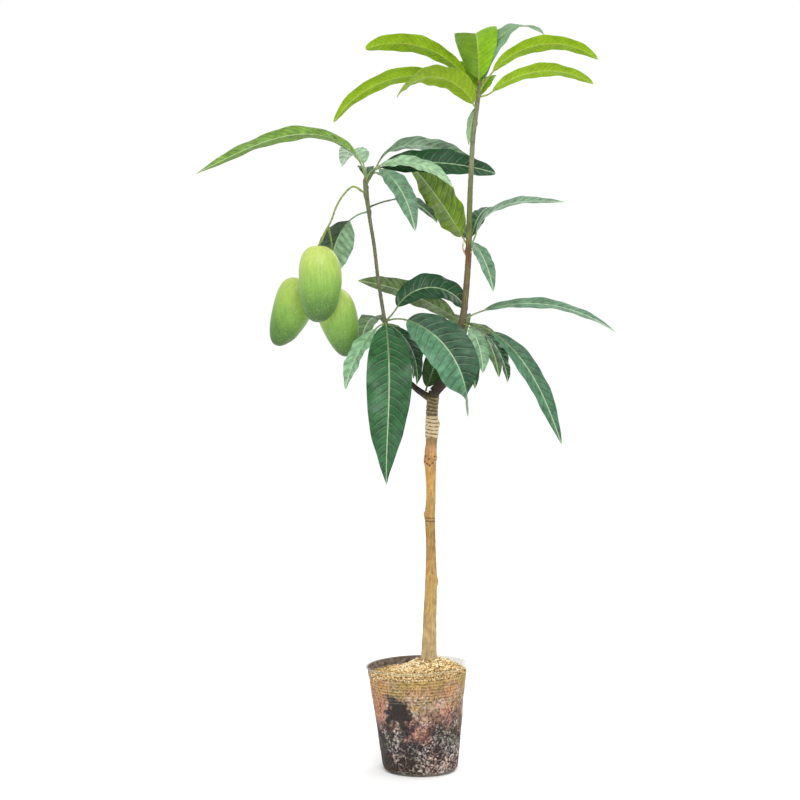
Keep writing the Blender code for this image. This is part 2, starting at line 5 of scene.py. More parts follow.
import bmesh
import bpy
import numpy as np
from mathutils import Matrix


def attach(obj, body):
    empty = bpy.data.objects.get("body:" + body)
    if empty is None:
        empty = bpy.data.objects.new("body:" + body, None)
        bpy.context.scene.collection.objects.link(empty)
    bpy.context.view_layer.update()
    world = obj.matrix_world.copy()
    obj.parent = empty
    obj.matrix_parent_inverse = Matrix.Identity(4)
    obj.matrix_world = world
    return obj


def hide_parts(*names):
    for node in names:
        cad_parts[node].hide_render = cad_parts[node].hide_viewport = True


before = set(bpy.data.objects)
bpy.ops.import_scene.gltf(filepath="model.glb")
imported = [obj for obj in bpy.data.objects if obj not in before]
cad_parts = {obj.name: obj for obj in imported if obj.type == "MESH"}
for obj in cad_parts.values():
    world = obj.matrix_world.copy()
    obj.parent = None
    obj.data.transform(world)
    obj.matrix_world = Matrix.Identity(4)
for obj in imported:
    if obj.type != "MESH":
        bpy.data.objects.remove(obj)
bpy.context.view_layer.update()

# A grafted mango sapling in a clear nursery pot. Everything is in metres in the
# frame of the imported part: +Z up, the origin under the middle of the pot.
print("frame loaded")


def linear(hexCode):
    # sRGB hex to linear light: c / 12.92 in the dark end, else ((c + 0.055) / 1.055) to the power 2.4
    raw = [int(hexCode[at:at + 2], 16) / 255 for at in (1, 3, 5)]
    return tuple(c / 12.92 if c <= 0.04045 else ((c + 0.055) / 1.055) ** 2.4 for c in raw) + (1.0,)


def fill(tree, socket, value):
    # a node is joined by its first output in use and an output as it is; a hex colour or a number is set
    if isinstance(value, bpy.types.Node):
        value = next(output for output in value.outputs if output.enabled)
    if isinstance(value, bpy.types.NodeSocket):
        tree.links.new(value, socket)
    else:
        socket.default_value = linear(value) if isinstance(value, str) else value


modes = {"Math": "operation", "VectorMath": "operation", "Mix": "data_type", "MapRange": "interpolation_type"}


def addNode(tree, kind, *values, **settings):
    # adds one shader node, whose kind may carry its mode after a dot: settings go to its properties, its ramp
    # or the sockets they name, then values, which are links or numbers, to its sockets in use in their order
    kind, _, mode = kind.partition(".")
    node = tree.nodes.new("ShaderNode" + kind)
    if mode:
        setattr(node, modes[kind], mode)
    for key, value in settings.items():
        if key == "stops":
            ramp = node.color_ramp
            while len(ramp.elements) < len(value):
                ramp.elements.new(1.0)
            for element, (place, colour) in zip(ramp.elements, value):
                element.position = place
                element.color = linear(colour)
        elif hasattr(node, key):
            setattr(node, key, value)
        else:
            fill(tree, node.inputs[key], value)
    inUse = [socket for socket in node.inputs if socket.enabled]
    for socket, value in zip(inUse, values):
        fill(tree, socket, value)
    return node


def coat(material, sockets, **relief):
    # fills the sockets of the material's shader, and joins the relief to it as a bump
    tree = material.node_tree
    if relief:
        sockets["Normal"] = addNode(tree, "Bump", **relief)
    for key, value in sockets.items():
        fill(tree, tree.nodes["Principled BSDF"].inputs[key], value)


def newMaterial(name, sockets):
    # a Principled material with its plain sockets filled, and the function that adds nodes to it
    material = bpy.data.materials.new(name)
    material.use_nodes = True
    coat(material, sockets)
    return material, partial(addNode, material.node_tree)


# Shapes

def spline(stations, fine=24):
    # Catmull-Rom: each stretch is the cubic through its two stations with slopes from their neighbours
    rows = np.array(stations, float)
    ends = np.vstack([2 * rows[0] - rows[1], rows, 2 * rows[-1] - rows[-2]])
    before, start, end, after = (ends[k:len(rows) - 1 + k, None] for k in range(4))
    step = np.linspace(0, 1, fine, endpoint=False)[None, :, None]
    curve = start + 0.5 * step * (end - before)
    curve = curve + step**2 * (before - 2.5 * start + 2 * end - 0.5 * after)
    curve = curve + step**3 * (1.5 * (start - end) + 0.5 * (after - before))
    return np.vstack([curve.reshape(-1, rows.shape[1]), rows[-1:]])


def stretch(stations, low, high, steps):
    # the part of a limb between two heights, as evenly spaced x, y, z, radius rows
    curve = spline(stations)
    heights = np.linspace(low, high, steps)
    x, y, radius = (np.interp(heights, curve[:, 2], curve[:, k]) for k in (0, 1, 3))
    return np.stack([x, y, heights, radius], axis=1)


def unit(vectors):
    return vectors / np.linalg.norm(vectors, axis=-1, keepdims=True)


def bell(places, centre, width):
    # a bell curve: e to the minus square of the distance from its centre over its width
    return np.exp(-(((places - centre) / width) ** 2))


def fullTurn(around):
    return np.linspace(0, 2 * math.pi, around + 1)[None, :]


def mapGrid(first, second):
    # a place on a map for each point of a grid
    return np.stack(np.broadcast_arrays(first, second), axis=2)


def tubeGrid(path, radius, around, across=None):
    # rings round a path: path + radius (cos a across + sin a up), the last column repeating the first
    ways = unit(np.gradient(path[:, :3], axis=0))
    if across is None:
        across = np.cross((0.0, 1.0, 0.0), ways)
    across = unit(across - ways * np.sum(across * ways, axis=1, keepdims=True))
    up = np.cross(ways, across)
    angles = fullTurn(around)[:, :, None]
    ring = np.cos(angles) * across[:, None] + np.sin(angles) * up[:, None]
    radius = np.broadcast_to(radius.reshape(len(path), -1), ring.shape[:2])
    return path[:, None, :3] + radius[:, :, None] * ring


def tubePart(grid, maps=None, tints=None):
    # a grid of rings as a closed tube; maps give each corner a place, and tints colour its columns of faces
    rows, columns = grid.shape[:2]
    around = columns - 1
    row, column = (index.ravel() for index in np.mgrid[0:rows - 1, 0:around])
    cornerRows = np.stack([row, row, row + 1, row + 1], axis=1)
    cornerColumns = np.stack([column, column + 1, column + 1, column], axis=1)
    first, last = np.arange(around)[::-1], np.arange(around)
    faces = [cornerRows * around + cornerColumns % around, np.stack([first, (rows - 1) * around + last])]
    loopRows = np.concatenate([cornerRows.ravel(), np.zeros(around, int), np.full(around, rows - 1)])
    loopColumns = np.concatenate([cornerColumns.ravel(), first, last])
    part = {"points": grid[:, :-1].reshape(-1, 3), "faces": faces, "maps": {}}
    for name, values in (maps or {}).items():
        part["maps"][name] = values[loopRows, loopColumns]
    if tints is not None:
        tints = np.broadcast_to(tints, (around, 4))
        part["tint"] = tints[np.concatenate([np.repeat(column, 4), first, last])]
    return part


def newPiece(name, parts, material, nodes=(), sharp=40):
    # joins parts into one mesh with outward faces, at the origin, riding on the one body
    mesh = bpy.data.meshes.new(name)
    starts = np.cumsum([0] + [len(part["points"]) for part in parts])
    faces = []
    for start, part in zip(starts, parts):
        for block in part["faces"]:
            faces += (block + start).tolist()
    mesh.from_pydata(np.concatenate([part["points"] for part in parts]), [], faces)
    for key in parts[0]["maps"]:
        layer = mesh.uv_layers.new(name=key)
        layer.data.foreach_set("uv", np.concatenate([part["maps"][key] for part in parts]).ravel())
    if "tint" in parts[0]:
        layer = mesh.color_attributes.new("tint", "FLOAT_COLOR", "CORNER")
        layer.data.foreach_set("color", np.concatenate([part["tint"] for part in parts]).ravel())
    work = bmesh.new()
    work.from_mesh(mesh)
    bmesh.ops.recalc_face_normals(work, faces=work.faces)
    work.to_mesh(mesh)
    work.free()
    mesh.shade_smooth()
    mesh.set_sharp_from_angle(angle=math.radians(sharp))
    mesh.materials.append(material)
    piece = bpy.data.objects.new(name, mesh)
    bpy.context.scene.collection.objects.link(piece)
    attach(piece, "root")
    if nodes:
        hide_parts(*nodes)


# The limbs, by the stations of the source: x, y, z, radius

limbs = {
    "trunk": (
        (0.0118, 0.0, 0.1633, 0.0128), (0.0122, 0.0, 0.175, 0.0111), (0.0136, 0.0, 0.220, 0.0098),
        (0.0153, 0.0, 0.276, 0.0087), (0.0152, 0.0, 0.326, 0.0071), (0.0139, 0.0, 0.374, 0.0074),
        (0.0152, 0.0, 0.411, 0.0068), (0.0140, 0.0, 0.456, 0.0086), (0.0156, 0.0, 0.480, 0.0082),
        (0.0165, 0.0, 0.501, 0.0086), (0.0166, 0.0, 0.530, 0.0076), (0.0195, 0.0, 0.5535, 0.0080),
    ),
    "leader": (
        (0.0195, 0.0, 0.5535, 0.0080), (0.0426, 0.001, 0.5815, 0.0070), (0.0527, 0.002, 0.622, 0.0060),
        (0.0627, 0.003, 0.671, 0.0049), (0.0684, 0.003, 0.738, 0.0044), (0.0698, 0.003, 0.778, 0.0043),
        (0.0711, 0.004, 0.832, 0.0038), (0.0753, 0.006, 0.918, 0.0034), (0.0824, 0.008, 0.975, 0.0032),
        (0.0845, 0.009, 0.998, 0.0026),
    ),
    "leftBough": (
        (0.0150, 0.0, 0.5440, 0.0060), (-0.0078, 0.002, 0.5597, 0.0042), (-0.0265, 0.005, 0.580, 0.0032),
        (-0.0425, 0.006, 0.615, 0.0029), (-0.0490, 0.004, 0.641, 0.0029), (-0.0532, 0.003, 0.664, 0.0027),
        (-0.0619, 0.001, 0.719, 0.0025), (-0.0676, 0.0, 0.767, 0.0025), (-0.0748, 0.0, 0.8115, 0.0027),
        (-0.0790, 0.0, 0.846, 0.0036), (-0.0805, 0.0, 0.858, 0.0030),
    ),
    "forkTwig": ((0.0078, 0.004, 0.5553, 0.0024), (0.0084, 0.005, 0.5620, 0.0018)),
}
# Knots: height, facing in degrees, how far out, how tall
knots = {
    "trunk": (
        (0.2775, 0.0, 0.0020, 0.006), (0.3745, 180.0, 0.0022, 0.005), (0.4530, 200.0, 0.0012, 0.006),
        (0.4600, -30.0, 0.0014, 0.006), (0.5420, 150.0, 0.0014, 0.006), (0.5300, -20.0, 0.0010, 0.004),
    ),
    "leader": (
        (0.5900, 200.0, 0.0012, 0.006), (0.6420, 150.0, 0.0010, 0.004), (0.6540, -20.0, 0.0012, 0.004),
        (0.7580, 180.0, 0.0016, 0.004), (0.7680, 10.0, 0.0010, 0.003), (0.9420, -10.0, 0.0014, 0.003),
        (0.9700, 160.0, 0.0008, 0.003), (0.9820, -30.0, 0.0008, 0.003),
    ),
    "leftBough": (
        (0.5650, 60.0, 0.0008, 0.004), (0.6460, 180.0, 0.0010, 0.003), (0.6540, -10.0, 0.0012, 0.003),
        (0.8140, 20.0, 0.0014, 0.004), (0.8380, 180.0, 0.0012, 0.004), (0.8500, 0.0, 0.0010, 0.003),
    ),
}
barkRelief = {
    "flareLobes": 5, "flareDepth": 0.10, "flareHeight": 0.014,
    "flutes": 7, "ridgeDepth": 0.00016,
    "ringDepth": 0.00012, "rings": ((420, 0.0), (770, 1.0), (1310, 2.2)),      # radians per metre, and shift
    "trunkRings": (0.3712, 0.3748),      # two grooves where a flush of growth stopped
    "grooveDepth": 0.0006, "grooveWidth": 0.0008,
}
# Bark pieces: name, limb, from, to, rings, points round, slot and the nodes they replace
barkPieces = (
    ("barkTrunk", "trunk", 0.1633, 0.5560, 420, 56, "bark", ["trunk"]),
    ("barkLeader", "leader", 0.5535, 0.998, 420, 32, "green_bark",
     ["leader_lower", "leader_middle", "leader_upper"]),
    ("barkLeftBough", "leftBough", 0.5440, 0.858, 300, 28, "green_bark",
     ["left_bough_lower", "left_bough_upper"]),
)


def barkGrid(limb, low, high, rows, around):
    # rings of the limb's radius with, added, knots as bell curves in height and facing, flutes that wander
    # with height as a sine of the angle, and fine rings as a sum of sines in height
    relief = barkRelief
    path = stretch(limbs[limb], low, high, rows)
    outward = tubeGrid(path, path[:, 3], around) - path[:, None, :3]
    facing = np.arctan2(outward[:, :, 1], outward[:, :, 0])
    height = path[:, 2][:, None]
    radius = np.linalg.norm(outward, axis=2)
    grown = radius.copy()
    if limb == "trunk":
        flare = np.cos(relief["flareLobes"] * facing) * np.exp((height[0] - height) / relief["flareHeight"])
        grown *= 1 + relief["flareDepth"] * flare
        for place in relief["trunkRings"]:
            grown -= relief["grooveDepth"] * bell(height, place, relief["grooveWidth"])
    for place, degrees, out, tall in knots[limb]:
        toward = np.clip(np.cos(facing - math.radians(degrees)), 0, None) ** 2
        grown += out * bell(height, place, tall) * toward
    wander = 3 * np.sin(height * 31) + height * 40
    grown += relief["ridgeDepth"] * np.sin(relief["flutes"] * facing + wander)
    for waves, shift in relief["rings"]:
        grown += relief["ringDepth"] * np.sin(waves * height + shift + np.sin(2 * facing + waves)) / 2
    return path[:, None, :3] + outward * (grown / radius)[:, :, None]


# Leaves, by the rule of the source: place on the stem, facing, pitch and length of the petiole, the pitches
# at which the blade starts and ends, how early it bends, size, roll and tone, and where they differ how blunt
# the tip is (smaller is blunter), the twist of the end, the sideways sway, how far the halves are raised, and
# how much brighter one half is than the other, which is painted light and shade
Leaf = namedtuple(
    "Leaf", "along turn lift petiole rise fall arch length width roll tone tip twist sway fold uneven",
    defaults=(0.85, 0, 0, 15, 0.0),
)
whorls = {
    "leaves_top": ("leader", 0.952, 0.998, (
        Leaf(0.80, 172, 45, 0.025, 53, -20, 1.0, 0.164, 0.034, 50, "lime", 0.50),
        Leaf(0.60, -176, 40, 0.022, 27, -58, 1.0, 0.214, 0.032, 42, "lime", 0.60),
        Leaf(0.25, -150, 30, 0.006, 58, -55, 1.0, 0.150, 0.050, 30, "limeShade", 0.75),
        Leaf(0.90, 92, 70, 0.012, 84, -35, 1.0, 0.170, 0.066, -14, "limeDeep", 0.60, 0, 0, 15, -0.26),
        Leaf(0.62, 46, 54, 0.024, 82, -24, 1.0, 0.180, 0.042, 6, "greyYoung"),
        Leaf(0.75, -8, 60, 0.033, 50, -38, 1.0, 0.167, 0.029, -45, "lime", 0.60),
        Leaf(0.60, -20, -5, 0.020, 38, -33, 1.0, 0.159, 0.028, -40, "lime", 0.55),
        Leaf(0.42, 125, -30, 0.004, -60, -88, 1.0, 0.055, 0.014, 0, "greyYoung"),
    )),
    "leaves_left_tip": ("leftBough", 0.808, 0.858, (
        Leaf(0.85, -172, 92, 0.043, 52, -27, 2.8, 0.250, 0.037, -35, "fresh", 0.85, 0, 0, 15, -0.14),
        Leaf(0.90, 28, 55, 0.035, 61, -18, 3.0, 0.178, 0.042, -25, "light", 0.70),
        Leaf(0.85, 12, 86, 0.035, 12, -17, 1.0, 0.172, 0.050, 50, "deep", 0.62),
        Leaf(0.85, -15, 90, 0.034, 18, -50, 1.0, 0.120, 0.034, 30, "pale"),
        Leaf(0.90, -50, 88, 0.044, -20, -72, 1.3, 0.122, 0.036, 15, "silvery"),
        Leaf(0.20, 44, 20, 0.043, 10, -46, 1.0, 0.106, 0.028, -10, "deep"),
        Leaf(0.10, 124, 0, 0.050, -25, -90, 1.0, 0.105, 0.058, -150, "halfLit", 0.70, 0, 0, 30, 0.62),
        Leaf(0.80, 108, 95, 0.040, 45, -45, 1.0, 0.120, 0.036, 0, "pale"),
    )),
    "leaves_middle": ("leader", 0.752, 0.776, (
        Leaf(0.45, 141, 50, 0.016, 55, 40, 1.0, 0.152, 0.070, 72, "sunlit"),
        Leaf(0.50, 15, 45, 0.018, 76, -3, 2.5, 0.155, 0.024, -30, "silvery"),
        Leaf(0.55, -65, 80, 0.012, -25, -70, 1.0, 0.098, 0.026, 0, "silvery"),
    )),
    "leaves_lower_left": ("leftBough", 0.641, 0.661, (
        Leaf(0.60, -84, 20, 0.012, -40, -94, 1.0, 0.250, 0.067, 0, "mature", 0.90, 15, -36, 15, -0.10),
        Leaf(0.60, -30, -10, 0.010, -30, -98, 1.0, 0.098, 0.044, 0, "deep"),
        Leaf(0.50, 30, 10, 0.018, -40, -100, 1.0, 0.082, 0.038, 0, "deep"),
        Leaf(0.60, -140, -9, 0.017, -38, -76, 1.0, 0.104, 0.040, 0, "light", 0.85, 0, 0, 15, -0.12),
        Leaf(0.80, 12, 40, 0.026, 58, -66, 1.0, 0.127, 0.048, 50, "deep", 0.60),
        Leaf(0.70, -36, 20, 0.038, -13, -95, 0.9, 0.186, 0.070, 45, "greyed", 0.80, 120, 0, 15, -0.42),
    )),
    "leaves_lower_right": ("leader", 0.640, 0.664, (
        Leaf(0.50, 150, 50, 0.008, 31, 5, 1.0, 0.176, 0.042, 60, "fresh"),
        Leaf(0.40, -60, -40, 0.010, -52, -90, 1.0, 0.084, 0.024, 0, "mature"),
        Leaf(0.50, -60, 8, 0.020, -34, -90, 1.0, 0.074, 0.031, 0, "light"),
        Leaf(0.70, -32, -15, 0.036, -38, -84, 1.0, 0.082, 0.034, 0, "deep"),
        Leaf(0.70, 5, 31, 0.030, 17, -36, 1.0, 0.203, 0.027, 34, "silvery"),
        Leaf(0.55, -15, 5, 0.042, -32, -70, 2.0, 0.194, 0.034, 45, "greyed", 0.85, 0, 0, 15, -0.12),
    )),
    "leaves_fork": ("forkTwig", 0.5553, 0.5620, (
        Leaf(0.40, 60, 80, 0.004, 52, 58, 1.0, 0.094, 0.034, 35, "shade"),
    )),
}
# The far side of each whorl: seed, count, middle facing, spread, tier, then the leaf they vary from
farSides = {
    "leaves_top": (3, 2, 92, 26, 24, Leaf(0.45, 0, 50, 0.014, 54, -14, 1.0, 0.130, 0.034, 0, "lime")),
    "leaves_left_tip": (
        5, 2, 80, 24, 20, Leaf(0.70, 0, 80, 0.034, 20, -30, 1.0, 0.100, 0.028, 0, "mature")
    ),
    "leaves_middle": (
        2, 2, 84, 28, -24, Leaf(0.50, 0, 45, 0.016, 40, 0, 1.0, 0.100, 0.028, 0, "mature")
    ),
    "leaves_lower_left": (
        4, 2, 95, 28, 30, Leaf(0.45, 0, 20, 0.016, 5, -82, 1.0, 0.135, 0.035, 0, "mature")
    ),
    "leaves_lower_right": (
        6, 2, 74, 34, 30, Leaf(0.45, 0, 20, 0.016, 5, -80, 1.0, 0.130, 0.036, 0, "mature")
    ),
}
# Tones: the upper face, the under face and the petiole. silvery, greyed and pale are paler, greyer tones
# that are partly the leaf's own colour and partly painted sheen; sunlit holds painted light shining through
# the leaf, and limeShade and shade are darker tones that hold painted shade
tones = {
    "lime": ("#7fa80a", "#86a816", "#8a9c34"),
    "limeShade": ("#74980c", "#82a01c", "#85962f"),
    "limeDeep": ("#668f08", "#7fa01c", "#85962f"),
    "greyYoung": ("#6c9068", "#86a680", "#85962f"),
    "fresh": ("#64872c", "#6c8450", "#74873f"),
    "sunlit": ("#557f12", "#66860c", "#828a40"),
    "mature": ("#27582f", "#587a48", "#6d8046"),
    "greyed": ("#467052", "#93b086", "#6d8046"),
    "light": ("#7fa780", "#8fb08e", "#7d9356"),
    "deep": ("#154522", "#3a5e32", "#637742"),
    "halfLit": ("#728f72", "#9ab79a", "#84a078"),
    "shade": ("#34541a", "#3d5c1c", "#5c6a30"),
    "silvery": ("#5f8466", "#76957a", "#758b56"),
    "pale": ("#90b38d", "#b0c8ae", "#88a068"),
}
youngTones = ("lime", "limeShade", "limeDeep", "greyYoung")
bladeForm = {
    "rowsPerMetre": 720, "rowsLeast": 44,
    "halfColumns": (0.0, 0.04, 0.09, 0.18, 0.31, 0.46, 0.62, 0.78, 0.92, 1.0),
    "thickness": 0.0004, "leastHalf": 0.0006,     # the half width that its ends narrow to
    "footPower": 0.60, "sinking": 0.12,           # how fast it widens from its foot, and how far edges sink
    "youngVeins": 0.0080, "matureVeins": 0.0130,  # from one side vein to the next, along the midrib
    "veinLean": 0.11, "veinStagger": 0.35,
    "quiltDepth": 0.0012, "edgeWave": 0.0024, "waves": (2.6, 6.1),
    "fullHalf": 0.03,                             # the half width at which swelling and wave have full depth
    "ribHeight": 0.0006, "ribWidth": 0.0012,
    "toneSpread": 0.07, "farVariety": 0.08, "seed": 21,
}
petioleForm = {
    "steps": 16, "underBlade": 0.28, "underSteps": 10, "around": 10,
    "radius": 0.0013, "thinning": 0.62, "swelling": 0.45, "leastRadius": 0.0004,
}
budForm = {
    "whorls": ("leaves_top", "leaves_left_tip"), "colour": "#6d5a34",
    "sunk": 0.0025, "length": 0.0095, "radius": 0.0030, "steps": 14, "around": 10,
}
scaleForm = {
    "whorl": "leaves_middle", "colour": "#b9a27c",
    "scales": ((195, 0.752, 0.026), (150, 0.755, 0.018), (-50, 0.756, 0.014)),      # facing, height, how tall
    "sunk": 0.0004, "bow": 0.0052, "radius": 0.0008, "steps": 14, "around": 8,
}


def bentLine(start, turn, sway, firstPitch, lastPitch, arch, length, shares):
    # pitch = last + (first - last)(1 - s)^arch, facing = turn + sway s^2, and the line is the sum of its ways
    fine = np.linspace(0, 1, 129)
    pitch = np.radians(lastPitch + (firstPitch - lastPitch) * (1 - fine) ** arch)
    facing = np.radians(turn + sway * fine**2)
    ways = np.stack([np.cos(pitch) * np.cos(facing), np.cos(pitch) * np.sin(facing), np.sin(pitch)], axis=1)
    steps = (ways[1:] + ways[:-1]) * 0.5 * length / (len(fine) - 1)
    line = np.vstack([np.zeros(3), np.cumsum(steps, axis=0)]) + np.asarray(start)
    columns = np.hstack([line, ways, facing[:, None]])
    columns = np.stack([np.interp(shares, fine, columns[:, k]) for k in range(7)], axis=1)
    level = np.stack([-np.sin(columns[:, 6]), np.cos(columns[:, 6]), np.zeros(len(shares))], axis=1)
    return columns[:, :3], unit(columns[:, 3:6]), level


def bladeWidth(shares, tip):
    # a lance: s^foot (1 - s)^tip over its own largest value, at s = foot / (foot + tip)
    foot = bladeForm["footPower"]
    widest = foot / (foot + tip)
    return shares**foot * (1 - shares) ** tip / (widest**foot * (1 - widest) ** tip)


def roundEdge(over, under):
    # the columns over the blade, then back under it to the first
    return np.concatenate([over, under[:, -2:0:-1], over[:, :1]], axis=1)


def bladeGrid(leaf, start, random):
    # the folded lamina: half width v across, raised by the fold as a V rounded at the midrib, and sinking as
    # v cubed; between side veins it swells by a cosine of the vein count, its margin waves by two sines, and
    # its midrib stands out as a bell curve
    form = bladeForm
    shares = np.linspace(0.0, 1.0, form["rowsLeast"] + round(form["rowsPerMetre"] * leaf.length))
    middle, ways, level = bentLine(
        start, leaf.turn, leaf.sway, leaf.rise, leaf.fall, leaf.arch, leaf.length, shares
    )
    shares = shares[:, None]
    normal = unit(np.cross(ways, level))
    late = np.clip((shares - 0.55) / 0.45, 0, 1)
    roll = np.radians(leaf.roll + leaf.twist * late**2 * (3 - 2 * late))
    across = level * np.cos(roll) + normal * np.sin(roll)
    upward = normal * np.cos(roll) - level * np.sin(roll)
    columns = np.array(form["halfColumns"])
    v = np.concatenate([-columns[:0:-1], columns])[None, :]
    width = bladeWidth(shares, leaf.tip)
    half = np.maximum(0.5 * leaf.width * width, form["leastHalf"])
    far = np.abs(v)
    pairs = leaf.length / form["youngVeins" if leaf.tone in youngTones else "matureVeins"]
    phase = pairs * (shares - form["veinLean"] * far**1.3 * width) + form["veinStagger"] * (v > 0)
    full = half / form["fullHalf"]
    quilt = -np.cos(2 * math.pi * phase) * form["quiltDepth"] * full * np.sqrt(far) * (1 - far**4)
    shift = random.uniform(0, 2 * math.pi, 4)
    long, short = form["waves"]
    wave = np.sin(2 * math.pi * long * shares + shift[0] + (v > 0) * shift[1])
    wave = wave + 0.5 * np.sin(2 * math.pi * short * shares + shift[2] + (v > 0) * shift[3])
    fold = math.radians(leaf.fold)
    lift = half * math.sin(fold) * (np.sqrt(far**2 + 0.003) - 0.055) * 1.1 - form["sinking"] * half * far**3
    lift = lift + quilt + form["edgeWave"] * full * wave * far**2
    rib = form["ribHeight"] * bell(v * half, 0, form["ribWidth"]) * (1 - 0.8 * shares)
    thick = 0.5 * form["thickness"]
    flat = middle[:, None] + across[:, None] * (half * math.cos(fold) * v)[:, :, None]
    top = flat + upward[:, None] * (lift + thick + 0.3 * rib)[:, :, None]
    bottom = flat + upward[:, None] * (lift - thick - rib)[:, :, None]
    spread = roundEdge(v, v)
    maps = {
        "veins": mapGrid(roundEdge(phase, phase), spread),
        "midrib": mapGrid(100 * half * spread, shares),
    }
    return roundEdge(top, bottom), maps


def varied(hexCode, factor):
    colour = np.array(linear(hexCode))
    colour[:3] *= factor
    return colour


def farLeaves(name):
    # the leaves the front view hides: neighbours a spread and a tier apart, each varied by the seeded rule
    if name not in farSides:
        return []
    seed, count, turn, spread, tier, like = farSides[name]
    random = np.random.default_rng(seed)
    leaves = []
    for number in range(count):
        step = number - (count - 1) / 2
        vary = 1 + bladeForm["farVariety"] * random.uniform(-1, 1, 4)
        leaves.append(like._replace(
            along=like.along * vary[0], turn=turn + spread * step, rise=like.rise + tier * step,
            fall=like.fall * vary[1], length=like.length * vary[2], width=like.width * vary[3],
        ))
    return leaves


def petiolePart(leaf, line, level, tint):
    # a tube along the petiole and on under the blade, thinning as its reach squared and swollen by two bell
    # curves, at its foot and where the blade begins
    form = petioleForm
    under, _, _ = bentLine(
        line[-1], leaf.turn, leaf.sway, leaf.rise, leaf.fall, leaf.arch, leaf.length,
        np.linspace(0.02, form["underBlade"], form["underSteps"])
    )
    reach = np.concatenate([np.linspace(0, 0.6, len(line)), np.linspace(0.64, 1, len(under))])
    swell = bell(reach, 0, 0.10) + 0.5 * bell(reach, 0.55, 0.08)
    radius = form["radius"] * (1 - form["thinning"] * reach**2) * (1 + form["swelling"] * swell)
    across = np.vstack([level, np.tile(level[-1], (len(under), 1))])
    grid = tubeGrid(np.vstack([line, under]), np.maximum(radius, form["leastRadius"]), form["around"], across)
    return tubePart(grid, None, tint)


def budPart(tip):
    # an ovoid a little thicker than the stem: its radius is a sine of its share to the power 0.9
    form = budForm
    share = np.linspace(0.02, 1, form["steps"])
    path = tip + np.outer(form["length"] * share - form["sunk"], (0, 0, 1))
    radius = form["radius"] * np.sin(math.pi * (0.16 + 0.82 * share)) ** 0.9
    return tubePart(tubeGrid(path, radius, form["around"], (1.0, 0.0, 0.0)), None, linear(form["colour"]))


def scaleParts():
    # dry bud scales round the leader's older node: thin strands that bow out as a sine and close in again
    form = scaleForm
    share = np.linspace(0, 1, form["steps"])
    parts = []
    for turn, height, tall in form["scales"]:
        foot = stretch(limbs["leader"], height, height + 0.001, 2)[0]
        out = foot[3] - form["sunk"] + form["bow"] * np.sin(math.pi * share) ** 0.8
        heading = math.radians(turn)
        path = foot[:3] + np.stack([out * math.cos(heading), out * math.sin(heading), tall * share], axis=1)
        grid = tubeGrid(path, form["radius"] * (1 - 0.6 * share), form["around"], (1.0, 0.0, 0.0))
        parts.append(tubePart(grid, None, linear(form["colour"])))
    return parts


def leafParts(name):
    # the blades and petioles of a whorl; each upper and under face has its own strip of the piece's atlas
    limb, low, high, near = whorls[name]
    stem = np.array(limbs[limb]) if limb == "forkTwig" else stretch(limbs[limb], low, high, 9)
    leaves = [*near, *farLeaves(name)]
    random = np.random.default_rng(bladeForm["seed"] + len(name))
    sideColumns = len(bladeForm["halfColumns"]) - 1
    blades, petioles = [], []
    for number, leaf in enumerate(leaves):
        row = stem[round(leaf.along * (len(stem) - 1))]
        line, _, level = bentLine(
            row[:3], leaf.turn, 0, leaf.lift, leaf.rise, 1.0, leaf.petiole + row[3],
            np.linspace(0.0, 1.0, petioleForm["steps"])
        )
        grid, maps = bladeGrid(leaf, line[-1], random)
        over, under, stalk = tones[leaf.tone]
        factor = 1 + bladeForm["toneSpread"] * random.uniform(-1, 1)
        # painted light and shade: the uneven share makes one half of each face brighter and the other darker
        litAndShadedHalves = np.repeat([1 - leaf.uneven, 1 + leaf.uneven], sideColumns)[:, None]
        litAndShadedHalves = np.hstack([litAndShadedHalves, litAndShadedHalves, litAndShadedHalves, 0 * litAndShadedHalves + 1])
        tints = np.concatenate([varied(over, factor) * litAndShadedHalves, varied(under, factor) * litAndShadedHalves[::-1]])
        below = np.arange(grid.shape[1])[None, :] > 2 * sideColumns
        shares = np.linspace(0, 1, len(grid))[:, None]
        spread = (maps["veins"][:, :, 1] + 1) / 2
        maps["OFBake"] = mapGrid(
            0.5 * below + 0.01 + 0.48 * shares, (number + 0.04 + 0.92 * spread) / len(leaves)
        )
        blades.append(tubePart(grid, maps, tints))
        petioles.append(petiolePart(leaf, line, level, varied(stalk, factor)))
    if name in budForm["whorls"]:
        petioles.append(budPart(stem[-1][:3]))
    if name == scaleForm["whorl"]:
        petioles += scaleParts()
    return blades, petioles


# Finishes of the plant. A scale is the count of features in a metre, so 60 gives features 17 mm wide

leafFinish = {
    "youngLeafThinSatin": {
        "veinTone": "#c3d264", "veinShare": 0.30, "ribShare": 0.60, "specular": 0.22, "roughness": 0.46,
        "dark": 0.80, "bright": 1.16, "furrowShade": 0.92, "lean": 0.94, "bloomAndSheen": 0.0,
    },
    "matureLeafWaxedCuticle": {
        "veinTone": "#c4dcae", "veinShare": 0.36, "ribShare": 0.84, "specular": 0.30, "roughness": 0.38,
        "dark": 0.52, "bright": 1.22, "furrowShade": 0.88, "lean": 0.80, "bloomAndSheen": 0.04,
    },
}
leafPattern = {
    "wobbleScale": 60.0, "wobble": 0.34,      # how far side veins wander, as a share of their spacing
    "mottleScale": 75.0, "filmScale": 24.0, "grainScale": 500.0, "bloomAndSheenTone": "#a3c0b2",
    "sideVein": (0.005, 0.055),               # shares of the vein spacing where a side vein ends
    "midrib": (0.05, 0.14),                   # centimetres from the middle, over which the midrib ends
}


